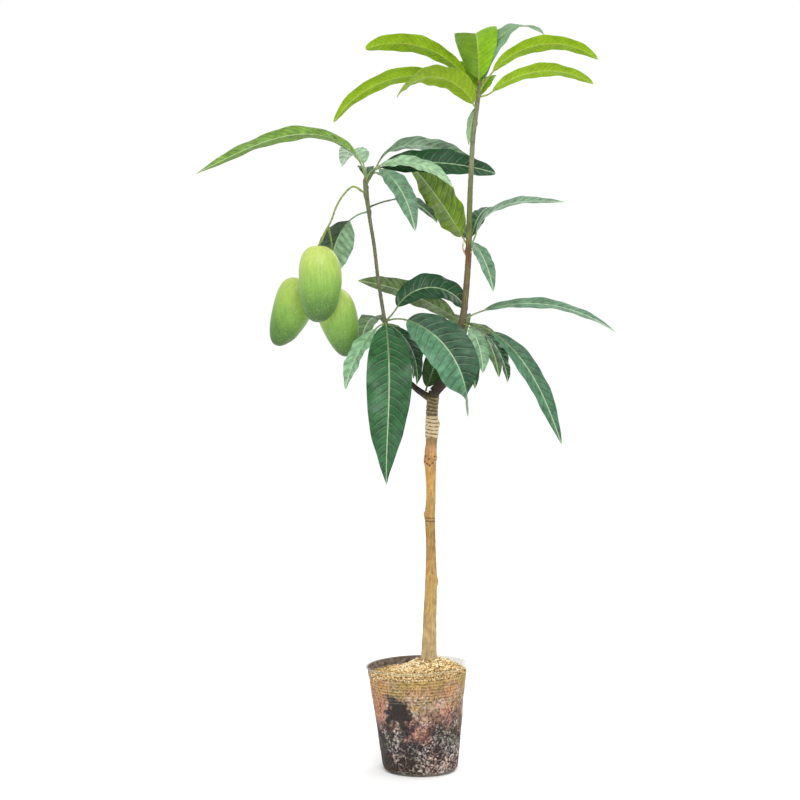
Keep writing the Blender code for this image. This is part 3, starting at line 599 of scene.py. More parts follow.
def leafMaterial(name):
    # living mango lamina, limp and satin when young, leathery and wax-coated when mature: gives a green body
    # mottled between its side veins, with painted shade beside each vein and painted light and shade across
    # each raised panel, fine pale veins and a paler midrib
    finish = leafFinish[name]
    pattern = leafPattern
    material, add = newMaterial(name, {
        "Roughness": finish["roughness"], "IOR": 1.45, "Specular IOR Level": finish["specular"],
    })
    tint = add("Attribute", attribute_name="tint")
    place = add("TexCoord").outputs["Object"]
    wobble = add("TexNoise", place, Scale=pattern["wobbleScale"], Detail=1.0)
    count, out, _ = add("SeparateXYZ", add("UVMap", uv_map="veins")).outputs
    bent = add("Math.MULTIPLY_ADD", wobble, pattern["wobble"], count)
    near = add("Math.PINGPONG", bent, 0.5)
    line = add("MapRange.SMOOTHSTEP", near, *pattern["sideVein"], 1.0, 0.0)
    apart = add("Math.ABSOLUTE", out)
    inner = add("MapRange", apart, 0.45, 0.98, 1.0, 0.15)
    side = add("Math.MULTIPLY", line, inner)
    across, _, _ = add("SeparateXYZ", add("UVMap", uv_map="midrib")).outputs
    off = add("Math.ABSOLUTE", across)
    rib = add("MapRange.SMOOTHSTEP", off, *pattern["midrib"], finish["ribShare"], 0.0)
    mottle = add("TexNoise", place, Scale=pattern["mottleScale"], Detail=5.0, Roughness=0.62)
    shade = add("MapRange", mottle, 0.32, 0.68, finish["dark"], finish["bright"])
    # each panel between two side veins is raised, and painted light and shade show it lit from one side:
    # lighter beside the vein at its foot, darker under the next one; the quilt is painted shade in the furrow
    # beside each vein
    panel = add("Math.FRACT", bent)
    panelLightAndShade = add("MapRange", panel, 0.0, 1.0, 2 - finish["lean"], finish["lean"])
    quilt = add("MapRange.SMOOTHSTEP", near, 0.05, 0.42, finish["furrowShade"], 1.08)
    quiltLightAndShade = add("Math.MULTIPLY", panelLightAndShade, quilt)
    both = add("Math.MULTIPLY", shade, quiltLightAndShade)
    body = add("VectorMath.SCALE", tint, both)
    # the bloom: a thin bluish wax film in patches a few centimetres wide, partly real and partly painted
    # sheen
    film = add("TexNoise", place, Scale=pattern["filmScale"], Detail=3.0)
    waxAndSheen = add("MapRange", film, 0.44, 0.70, 0.0, finish["bloomAndSheen"])
    withBloomAndSheen = add("Mix.RGBA", waxAndSheen, body, pattern["bloomAndSheenTone"])
    paler = add("Mix.RGBA", 0.6, tint, finish["veinTone"])
    faint = add("Math.MULTIPLY", side, finish["veinShare"])
    veined = add("Mix.RGBA", faint, withBloomAndSheen, paler)
    ribbed = add("Mix.RGBA", rib, veined, paler)
    fine = add("TexNoise", place, Scale=pattern["grainScale"], Detail=3.0)
    height = add("Math.MULTIPLY_ADD", fine, 0.4, side)
    coat(material, {"Base Color": ribbed}, Height=height, Strength=0.30, Distance=0.0006, invert=True)
    return material


def petioleMaterial():
    # fleshy leaf stalk: smooth green skin flecked with cork; gives a soft line from stem to blade
    material, add = newMaterial("petioleGreenSkin", {"Roughness": 0.5})
    place = add("TexCoord").outputs["Object"]
    cork = add("TexNoise", place, Scale=260.0, Detail=4.0)
    shade = add("MapRange", cork, 0.34, 0.66, 0.66, 1.16)
    tint = add("Attribute", attribute_name="tint")
    flecked = add("VectorMath.SCALE", tint, shade)
    coat(material, {"Base Color": flecked}, Height=cork, Strength=0.3, Distance=0.0003)
    return material


barkFinish = {
    "span": (0.15, 1.0),      # the heights of the first and the last stop
    # the near-black stop at 0.475 lies at the height of the fork: painted shade in its crotch
    "stops": (
        (0.0, "#bea67e"), (0.11, "#b19456"), (0.18, "#a8844a"), (0.235, "#9c7a40"), (0.287, "#b28e50"),
        (0.339, "#c2944f"), (0.375, "#bb8d5c"), (0.40, "#8a7440"), (0.455, "#6f5e33"), (0.475, "#2a1f18"),
        (0.52, "#54432f"), (0.61, "#655a3c"), (0.68, "#6f643f"), (0.707, "#75502f"), (0.723, "#6c5733"),
        (0.745, "#626c35"), (0.80, "#5f6735"), (0.86, "#767a58"), (1.0, "#6d7052"),
    ),
    "bough": "#666a4c", "boughFrom": (-0.008, -0.030),      # the x over which the left bough's colour begins
    "draw": (1.0, 1.0, 0.22), "fibreScale": 420.0, "patchScale": 60.0, "poreScale": 170.0,
    "pitScale": 210.0, "pits": (0.454, 0.008),              # height and reach of the pitted knot
    "scars": ((0.3678, 0.0010), (0.3726, 0.0008)),          # height and half width
    "mark": "#4a3018",
}


def barkMaterial():
    # young mango bark: smooth and corky; tan low on the stem, brown at the fork with a near-black ring of
    # painted shade in its crotch, and olive on new growth
    finish = barkFinish
    material, add = newMaterial("barkSmoothCork", {"Roughness": 0.78})
    place = add("TexCoord").outputs["Object"]
    x, _, z = add("SeparateXYZ", place).outputs
    rise = add("MapRange", z, *finish["span"])
    colour = add("ValToRGB", rise, stops=finish["stops"])
    # the left bough is younger, so olive grey all along
    aside = add("MapRange", x, *finish["boughFrom"], 0.0, 0.85)
    aged = add("Mix.RGBA", aside, colour, finish["bough"])
    drawn = add("Mapping", place, Scale=finish["draw"])
    fibre = add("TexNoise", drawn, Scale=finish["fibreScale"], Detail=5.0, Roughness=0.65)
    patch = add("TexNoise", place, Scale=finish["patchScale"], Detail=4.0)
    streak = add("MapRange", fibre, 0.32, 0.68, 0.66, 1.22)
    blotch = add("MapRange", patch, 0.36, 0.66, 0.78, 1.12)
    both = add("Math.MULTIPLY", streak, blotch)
    worn = add("VectorMath.SCALE", aged, both)
    pores = add("TexVoronoi", drawn, Scale=finish["poreScale"])
    pore = add("MapRange", pores, 0.12, 0.24, 0.85, 0.0)
    sparse = add("MapRange", patch, 0.52, 0.66)
    grown = add("Math.MULTIPLY", pore, sparse)
    # round pits 1 to 2 mm wide crowd the knot under the graft
    pits = add("TexVoronoi", place, Scale=finish["pitScale"])
    pit = add("MapRange", pits, 0.28, 0.44, 0.9, 0.0)
    knotty = add("Math.COMPARE", z, *finish["pits"])
    pitted = add("Math.MULTIPLY", pit, knotty)
    marks = add("Math.MAXIMUM", grown, pitted)
    # two dark scars ring the stem where a flush of growth stopped
    uneven = add("Math.MULTIPLY_ADD", patch, 0.004, z)
    for scar in finish["scars"]:
        ring = add("Math.COMPARE", uneven, *scar)
        faint = add("Math.MULTIPLY", ring, 0.75)
        marks = add("Math.MAXIMUM", marks, faint)
    dotted = add("Mix.RGBA", marks, worn, finish["mark"])
    coat(material, {"Base Color": dotted}, Height=fibre, Strength=0.5, Distance=0.0006)
    return material


mangoFinish = {
    "stops": (      # from the stalk end to the foot
        (0.0, "#b9c963"), (0.22, "#a0bb55"), (0.5, "#7da544"), (0.78, "#547c2f"), (1.0, "#395a22"),
    ),
    "pore": "#d5e29a", "cloudScale": 28.0, "draw": (1.0, 1.0, 0.12), "streakScale": 330.0, "poreScale": 420.0,
}


def mangoMaterial():
    # unripe mango skin: tight wax over green flesh; gives a soft gloss, pale pores and a paler stalk end
    finish = mangoFinish
    material, add = newMaterial("mangoWaxySkin", {"Roughness": 0.40, "IOR": 1.45})
    place = add("TexCoord").outputs["Object"]
    _, down, _ = add("SeparateXYZ", add("UVMap", uv_map="skin")).outputs
    cloud = add("TexNoise", place, Scale=finish["cloudScale"], Detail=2.0)
    shifted = add("Math.MULTIPLY_ADD", cloud, 0.22, -0.11)
    along = add("Math.ADD", down, shifted)
    colour = add("ValToRGB", along, stops=finish["stops"])
    drawn = add("Mapping", place, Scale=finish["draw"])
    streak = add("TexNoise", drawn, Scale=finish["streakScale"], Detail=3.0)
    shade = add("MapRange", streak, 0.3, 0.7, 0.88, 1.10)
    skinned = add("VectorMath.SCALE", colour, shade)
    tone = add("Attribute", attribute_name="tint")
    toned = add("Mix.RGBA", 1.0, skinned, tone, blend_type="MULTIPLY")
    pores = add("TexVoronoi", place, Scale=finish["poreScale"])
    pore = add("MapRange", pores, 0.12, 0.26, 0.35, 0.0)
    dotted = add("Mix.RGBA", pore, toned, finish["pore"])
    coat(material, {"Base Color": dotted}, Height=pores, Strength=0.12, Distance=0.0004)
    return material


tapeFinish = {
    "new": ((0.0, "#5d4b2c"), (0.14, "#94805a"), (0.35, "#c8b28c"), (0.8, "#beaa84"), (1.0, "#dccdab")),
    "old": ((0.0, "#2f2617"), (0.25, "#5a4a28"), (0.6, "#7d6c3e"), (0.85, "#8f7f50"), (1.0, "#b7a67c")),
    "shadowPatchScale": 240.0,
}


def tapeMaterial():
    # wound grafting tape: stretched plastic film gone dull; gives pale overlapping bands, darkened by painted
    # shadow at the start of each turn and in patches
    finish = tapeFinish
    material, add = newMaterial("graftTapeFilm", {"Roughness": 0.5})
    wound, age, _ = add("SeparateXYZ", add("UVMap", uv_map="wrap")).outputs
    turn = add("Math.FRACT", wound)
    place = add("TexCoord").outputs["Object"]
    # painted shadow: the grime noise pulls each band down its ramp in patches, darkening it as the shadow
    # between rugged laps
    grime = add("TexNoise", place, Scale=finish["shadowPatchScale"], Detail=4.0)
    shadowPatches = add("Math.MULTIPLY_ADD", grime, 1.1, -0.66)
    level = add("Math.ADD", turn, shadowPatches)
    # both ramps are darkest at the start of a turn: painted shade in the crease between laps
    new = add("ValToRGB", level, stops=finish["new"])
    old = add("ValToRGB", level, stops=finish["old"])
    aged = add("Math.GREATER_THAN", age, 1.5)
    coat(material, {"Base Color": add("Mix.RGBA", aged, new, old)})
    return material


youngLeaf = leafMaterial("youngLeafThinSatin")
matureLeaf = leafMaterial("matureLeafWaxedCuticle")
petioleSkin = petioleMaterial()
bark = barkMaterial()
mangoSkin = mangoMaterial()
tapeFilm = tapeMaterial()
print("plant finishes made")

for name, limb, low, high, rows, around, slotName, nodes in barkPieces:
    newPiece(name, [tubePart(barkGrid(limb, low, high, rows, around))], bark, nodes)
print("limbs grown")

leafCount = 0
for whorl in whorls:
    blades, petioles = leafParts(whorl)
    leafCount += len(blades)
    slotName, lamina = ("young_leaf", youngLeaf) if whorl == "leaves_top" else ("leaf", matureLeaf)
    newPiece(whorl + "_blades", blades, lamina, [whorl], sharp=60)
    newPiece(whorl + "_petioles", petioles, petioleSkin)
print("leaves grown:", leafCount)

# Graft tape: a film wound round the trunk, each turn lapping the last
tapeForm = {
    "new": (0.4870, 0.5190, 6, 0.0008),      # from, to, turns and lap of the pale tape over the graft
    "old": (0.5200, 0.5460, 5, 0.0005),      # the same of the older brown wrap above it
    "clear": 0.0006, "crinkle": 0.0002, "ramp": 0.88,      # the ramp is the share of a turn before its lap
    "bulgeHeight": 0.5075, "bulgeWidth": 0.0045, "bulge": 0.0024, "around": 48, "rows": 130,
}


def tapePart(low, high, turns, lap, older):
    # a sleeve whose radius is the trunk's plus a saw tooth of height and angle, so each turn laps over the
    # last, and a bell curve where the graft swells on the right
    form = tapeForm
    path = stretch(limbs["trunk"], low, high, form["rows"])
    angles = fullTurn(form["around"])
    share = np.linspace(0, 1, form["rows"])[:, None]
    wound = turns * (share + 0.03 * np.sin(angles + 3)) + angles / (2 * math.pi) + 1
    part, ramp = wound % 1, form["ramp"]
    tooth = np.where(part < ramp, part / ramp, (1 - part) / (1 - ramp))
    uneven = form["crinkle"] * (np.sin(9 * angles + 40 * share) + np.sin(4 * angles - 23 * share))
    near = bell(path[:, 2:3], form["bulgeHeight"], form["bulgeWidth"])
    bulge = form["bulge"] * near * np.clip(np.cos(angles - 0.2), 0, None) ** 2
    radius = path[:, 3:] + form["clear"] + lap * tooth + uneven + bulge
    grid = tubeGrid(path, radius, form["around"], (1.0, 0.0, 0.0))
    return tubePart(grid, {"wrap": mapGrid(wound, 2.0 * older)})


tapeParts = [tapePart(*tapeForm["new"], False), tapePart(*tapeForm["old"], True)]
newPiece("graftTape", tapeParts, tapeFilm, ["graft_tape"])

# Fruit: the stalk's stations, then each fruit's top, foot, share of full size, taper, tone and pedicel
stalkLine = (
    (-0.0800, -0.0004, 0.8420, 0.0020), (-0.0832, -0.0012, 0.8430, 0.0017), (-0.0975, -0.006, 0.8505, 0.0015),
    (-0.1110, -0.011, 0.8390, 0.0014), (-0.1215, -0.015, 0.8215, 0.0014), (-0.1290, -0.018, 0.8010, 0.0014),
    (-0.1375, -0.021, 0.7850, 0.0015), (-0.1425, -0.023, 0.7720, 0.0015),
)
Mango = namedtuple("Mango", "name node top foot size taper tone pedicel")
mangoes = (
    Mango("mangoFront", "mango_front", (-0.1470, -0.024, 0.7655), (-0.1478, -0.030, 0.6550), 1.00, 0.12,
          "#ffffff", ((-0.1425, -0.0230, 0.7725),)),
    # the left fruit's tone is a little darker: painted shade where it hangs behind the front one
    Mango("mangoLeft", "mango_left", (-0.1740, 0.040, 0.7170), (-0.2130, 0.046, 0.6180), 0.95, 0.42,
          "#f2f6ea", ((-0.1377, -0.0205, 0.7846), (-0.1500, 0.016, 0.7620))),
    Mango("mangoRight", "mango_right", (-0.1360, 0.020, 0.7030), (-0.1050, 0.014, 0.6020), 0.93, 0.42,
          "#ffffff", ((-0.1328, -0.0190, 0.7922), (-0.1290, 0.010, 0.7600))),
)
mangoForm = {
    "length": 0.110, "radius": 0.0310, "flatness": 0.90, "power": 2.25, "skew": 0.90, "bow": 0.0030,
    "beak": 0.0012, "rows": 72, "around": 56,
}
stalkForm = {
    "fine": 12, "around": 12, "bumps": 0.10, "sunk": 0.005, "radius": 0.0013, "head": 0.0012, "foot": 0.0005,
    "colour": "#7d8f3a",
}


def mangoPart(mango):
    # radius = R (1 - |2 s^skew - 1|^p)^(1/p), narrowed towards the foot by the taper, on an axis bowed by a
    # sine; a beak stands out on one side near the foot as a bell curve
    form = mangoForm
    top = np.array(mango.top)
    axis = unit(np.array(mango.foot) - top)
    across = unit(np.cross(axis, (0.0, 1.0, 0.0)))
    deep = np.cross(axis, across)
    share = (0.5 - 0.5 * np.cos(np.linspace(0.03, 0.985, form["rows"]) * math.pi))[:, None]
    power = form["power"]
    radius = form["radius"] * mango.size * (1 - np.abs(2 * share ** form["skew"] - 1) ** power) ** (1 / power)
    radius = radius * (1 - mango.taper * (share - 0.4))
    angles = fullTurn(form["around"])
    radius = radius + form["beak"] * bell(share, 0.82, 0.07) * np.clip(np.cos(angles - 0.4), 0, None) ** 2
    middle = top + axis * form["length"] * mango.size * share + across * form["bow"] * np.sin(math.pi * share)
    ring = np.cos(angles)[:, :, None] * across + form["flatness"] * np.sin(angles)[:, :, None] * deep
    grid = middle[:, None] + radius[:, :, None] * ring
    return tubePart(grid, {"skin": mapGrid(angles / (2 * math.pi), share)}, linear(mango.tone))


def stalkParts():
    # the stalk and the three pedicels as tubes on splines, each a little swollen where it joins
    form = stalkForm
    path = spline(stalkLine, form["fine"])
    tubes = [(path, path[:, 3] * (1 + form["bumps"] * np.sin(path[:, 2] * 900)))]
    for mango in mangoes:
        top = np.array(mango.top)
        axis = unit(np.array(mango.foot) - top)
        path = spline([*mango.pedicel, top, top + axis * form["sunk"]], form["fine"])
        reach = np.linspace(0, 1, len(path))
        tubes.append((path, form["radius"] + form["head"] * reach**6 + form["foot"] * bell(reach, 0, 0.1)))
    tint = linear(form["colour"])
    return [tubePart(tubeGrid(path, radius, form["around"]), None, tint) for path, radius in tubes]


for mango in mangoes:
    newPiece(mango.name, [mangoPart(mango)], mangoSkin, [mango.node])
newPiece("fruitStalk", stalkParts(), petioleSkin, ["fruit_stalk"])
print("fruit hung")

# Pot and growing mix
potForm = {
    "rimRadius": 0.0750, "baseRadius": 0.0555, "height": 0.1550, "wall": 0.0007, "corner": 0.0070,
    "lean": -0.0047, "rimDip": 2.0, "roll": 0.0016, "ribCount": 9, "ribPitch": 0.0044, "ribDepth": 0.0007,
    "ribsTop": 0.1470, "around": 144, "rows": 150, "hub": 0.001,
    "dents": ((0.0005, 3, 5, 1.3), (0.0004, 7, -9, 0.0), (0.0003, 13, 17, 0.0)),   # depth, round, up, shift
}
ribsFoot = potForm["ribsTop"] - potForm["ribCount"] * potForm["ribPitch"]
rimSlope = math.tan(math.radians(potForm["rimDip"]))


def potPlace(radius, angle, height):
    # a point of the round frame, leaned to the left and with its rim dipped, both in step with the height
    radius, angle, height = np.broadcast_arrays(radius, angle, height)
    share = height / potForm["height"]
    x, y = radius * np.cos(angle), radius * np.sin(angle)
    return np.stack([x + potForm["lean"] * share, y, height + share * x * rimSlope], axis=-1)


def wallRadius(height, angle):
    # a straight flare from base to rim, plus ribs as raised cosines in their band and soft dents between
    form = potForm
    base = form["baseRadius"]
    flare = base + (form["rimRadius"] - form["roll"] - base) * height / form["height"]
    inBand = (height > ribsFoot) & (height < form["ribsTop"])
    wave = 0.5 - 0.5 * np.cos(2 * math.pi * (height - ribsFoot) / form["ribPitch"])
    share = np.clip(height / form["height"], 0, 1)
    dents = 0
    for depth, turns, rise, shift in form["dents"]:
        dents = dents + depth * np.sin(turns * angle + rise * share + shift)
    return flare + form["ribDepth"] * wave * inBand + dents * np.sin(math.pi * share) ** 2


def heightShare(grid):
    # each point's height over the height of the dipped rim on its side
    return grid[:, :, 2] / (potForm["height"] + grid[:, :, 0] * rimSlope)


def potParts():
    # the profile runs up the outside, over the rolled rim and down the inside, and is carried round
    form = potForm
    low, wall, roll = form["corner"], form["wall"], form["roll"]
    centre, rim = form["baseRadius"] - low, form["rimRadius"] - roll
    angle = fullTurn(form["around"])
    flat = np.linspace(form["hub"], centre, 8)[:, None]
    arc = np.radians(np.linspace(-90, 0, 8))[1:-1, None]
    up = np.linspace(low, form["height"] - 2 * roll, form["rows"])[:, None]
    over = np.radians(np.linspace(-75, 200, 16))[:, None]
    down, back = up[::-1], arc[::-1]
    grid = np.concatenate([
        potPlace(flat, angle, 0.0),
        potPlace(centre + low * np.cos(arc), angle, low + low * np.sin(arc)),
        potPlace(wallRadius(up, angle), angle, up),
        potPlace(rim + roll * np.cos(over), angle, form["height"] - roll + roll * np.sin(over)),
        potPlace(wallRadius(down, angle) - wall, angle, down),
        potPlace(centre + (low - wall) * np.cos(back), angle, low + (low - wall) * np.sin(back)),
        potPlace(flat[::-1], angle, wall),
    ])
    return [tubePart(grid, {"wall": mapGrid(angle / (2 * math.pi), heightShare(grid))})]


soilForm = {
    "edgeHeight": 0.1420, "sideRise": 0.0040, "seatHeight": 0.1630, "seatRadius": 0.0150, "gap": 0.0002,
    "grain": 0.0005, "rows": 120, "moundRows": 40, "moundWave": 0.0010, "seed": 7,
}
huskForm = {"count": 4600, "length": 0.0072, "width": 0.0026, "thick": 0.0015, "seed": 8}


def moundPoint(share, angle):
    # from the pot's wall to the seat under the trunk: straight in plan, rising as share^1.5, with a side rise
    form = soilForm
    edgeRadius = wallRadius(form["edgeHeight"], angle) - potForm["wall"] - form["gap"]
    edge = potPlace(edgeRadius, angle, form["edgeHeight"])
    seat = np.stack([limbs["trunk"][0][0] + form["seatRadius"] * np.cos(angle),
                     form["seatRadius"] * np.sin(angle), np.full_like(angle, form["seatHeight"])], axis=-1)
    point = edge + (seat - edge) * share[..., None]
    side = form["sideRise"] * np.cos(angle) * np.sin(math.pi * share)
    point[..., 2] = edge[..., 2] + (form["seatHeight"] - edge[..., 2]) * share**1.5 + side
    return point


def soilParts():
    # the mix fills the pot just inside its wall; its sides are pressed against the plastic with a fine grain
    form = soilForm
    low, bottom = potForm["corner"], potForm["wall"] + form["gap"]
    centre = potForm["baseRadius"] - low
    angle = fullTurn(potForm["around"])
    flat = np.linspace(potForm["hub"], centre, 6)[:, None]
    arc = np.radians(np.linspace(-90, 0, 6))[1:, None]
    up = np.linspace(low, form["edgeHeight"], form["rows"])[1:, None]
    grain = form["grain"] * np.random.default_rng(form["seed"]).uniform(0, 1, (len(up), angle.size))
    grain[:, -1] = grain[:, 0]
    share = np.linspace(0, 1, form["moundRows"])[1:, None]
    mound = moundPoint(share, angle)
    mound[..., 2] += form["moundWave"] * np.sin(9 * angle + 20 * share) * np.sin(math.pi * share)
    seat = np.array([limbs["trunk"][0][0], 0.0, form["seatHeight"]])
    grid = np.concatenate([
        potPlace(flat, angle, bottom),
        potPlace(centre + (low - bottom) * np.cos(arc), angle, low + (low - bottom) * np.sin(arc)),
        potPlace(wallRadius(up, angle) - bottom - grain, angle, up),
        mound,
        (mound[-1:] - seat) * 0.05 + seat,
    ])
    share = heightShare(grid)
    share[-form["moundRows"]:] = 1.3      # the mound lies past the last stop of the side's colours
    return [tubePart(grid, {"side": mapGrid(angle / (2 * math.pi), share)})]


def huskPart():
    # rice husks as small boats: two rings of four points between two tips, turned and laid on the mound
    form = huskForm
    random = np.random.default_rng(form["seed"])
    count = form["count"]
    along = np.array([-0.5, *[-0.22] * 4, *[0.22] * 4, 0.5])
    side = np.array([0, 0.5, 0, -0.5, 0, 0.5, 0, -0.5, 0, 0])
    tall = np.array([0.1, 0.1, 0.5, 0.1, -0.35, 0.1, 0.5, 0.1, -0.35, 0.1])
    size = random.uniform(0.75, 1.15, (count, 1, 1))
    shape = np.stack([along * form["length"], side * form["width"], tall * form["thick"]], axis=1) * size
    heading = random.uniform(0, 2 * math.pi, count)
    pitch = random.normal(0, 0.35, count)
    bank = random.normal(0, 0.6, count)[:, None]
    x, y = np.cos(heading), np.sin(heading)
    first = np.stack([x * np.cos(pitch), y * np.cos(pitch), np.sin(pitch)], axis=1)
    level = np.stack([-y, x, np.zeros(count)], axis=1)
    second = level * np.cos(bank) + np.cross(first, level) * np.sin(bank)
    ways = np.stack([first, second, np.cross(first, second)], axis=1)
    share = 1 - np.sqrt(random.uniform(0.0, 0.95, count))
    place = moundPoint(share, random.uniform(0, 2 * math.pi, count))
    place[:, 2] += random.uniform(-0.0004, 0.0018, count)
    points = place[:, None] + shape @ ways
    tips = np.array([(0, 1, 2), (0, 2, 3), (0, 3, 4), (0, 4, 1), (9, 6, 5), (9, 7, 6), (9, 8, 7), (9, 5, 8)])
    sides = np.array([(1, 5, 6, 2), (2, 6, 7, 3), (3, 7, 8, 4), (4, 8, 5, 1)])
    starts = 10 * np.arange(count)[:, None, None]
    faces = [(tips + starts).reshape(-1, 3), (sides + starts).reshape(-1, 4)]
    return {"points": points.reshape(-1, 3), "faces": faces, "maps": {}}


def ribWave(add, up, top):
    # a cosine that turns once a rib, 1 in the grooves and -1 on the crests, and a mask of their band
    height = potForm["height"]
    first, last = ribsFoot / height, potForm["ribsTop"] / height
    turn = add("MapRange", up, first, last, 0.0, 2 * math.pi * potForm["ribCount"], clamp=False)
    above = add("Math.GREATER_THAN", up, first)
    below = add("Math.LESS_THAN", up, top)
    return (
        add("Math.COSINE", turn),
        add("Math.MULTIPLY", above, below),
    )


plasticFinish = {
    "tint": "#bcbb9e", "crest": 0.10, "rim": 0.20, "wall": 0.012, "foot": 0.12,      # shares of opacity
    # dust on the far left and a fainter film on the far right: centre as a share of the turn, reach, opacity
    "dust": (0.36, (0.10, 0.20), 0.95), "film": (0.13, (0.05, 0.15), 0.30),
    "mixTop": (0.88, 0.90), "patchScale": 160.0, "grime": ((0.35, "#4b3f3c"), (0.62, "#8b8078")),
}


def plasticMaterial():
    # clear formed polypropylene: the rib crests, rim and foot are drawn more opaque in the pale tint as
    # painted highlights where they catch the light, the wall between is nearly unseen, and peat dust clings
    # to the inside above the mix on the far left
    finish = plasticFinish
    material, add = newMaterial("potClearPolypropylene", {"Roughness": 0.18, "IOR": 1.49})
    turn, up, _ = add("SeparateXYZ", add("UVMap", uv_map="wall")).outputs
    wave, band = ribWave(add, up, potForm["ribsTop"] / potForm["height"])
    # painted highlights: the rib crests, the rim and the foot are drawn more opaque in the pale tint
    crest = add("MapRange", wave, -0.2, -1.0, 0.0, finish["crest"])
    highlightLines = add("Math.MULTIPLY", crest, band)
    rim = add("MapRange", up, 0.972, 0.985, finish["wall"], finish["rim"])
    foot = add("MapRange", up, 0.0, 0.04, finish["foot"], 0.0)
    solid = add("Math.ADD", highlightLines, rim)
    opacity = add("Math.ADD", solid, foot)
    high = add("MapRange", up, *finish["mixTop"])
    for centre, reach, most in (finish["film"], finish["dust"]):
        off = add("Math.SUBTRACT", turn, centre)
        away = add("Math.ABSOLUTE", off)
        patch = add("MapRange.SMOOTHSTEP", away, *reach, most, 0.0)
        veil = add("Math.MULTIPLY", patch, high)
        opacity = add("Math.MAXIMUM", opacity, veil)
    # the last veil is the dust, and has a colour of its own
    place = add("TexCoord").outputs["Object"]
    patchy = add("TexNoise", place, Scale=finish["patchScale"], Detail=4.0)
    grimy = add("ValToRGB", patchy, stops=finish["grime"])
    coat(material, {"Base Color": add("Mix.RGBA", veil, finish["tint"], grimy), "Alpha": opacity})
    return material


soilFinish = {
    "ground": (      # from the foot up to the mound
        (0.0, "#331a16"), (0.14, "#261817"), (0.36, "#2b212b"), (0.43, "#452f2e"), (0.50, "#70504a"),
        (0.60, "#a27c6c"), (0.70, "#b08565"), (0.80, "#ab8458"), (0.93, "#bd9858"), (1.0, "#a8834a"),
    ),
    "flecks": ((0.0, "#7d7278"), (0.5, "#b9aeaa"), (1.0, "#e8decb")),
    "hues": ((0.36, "#dfe8cb"), (0.50, "#ffffff"), (0.62, "#ffe9e1")),
    # the tongue of peat and the shelf of husk: centre as shares of turn and height, then shift of the ramp
    "tongue": ((0.674, 0.64, 0.0), -0.44), "shelf": ((0.742, 0.43, 0.0), 0.17), "narrowing": (4.2, 1.3, 1.0),
    "wanderScale": 30.0, "wander": 0.74, "grainScale": 400.0, "clumpScale": 38.0, "rootScale": 105.0,
    "hueScale": 26.0, "ribsEnd": 0.93,
}


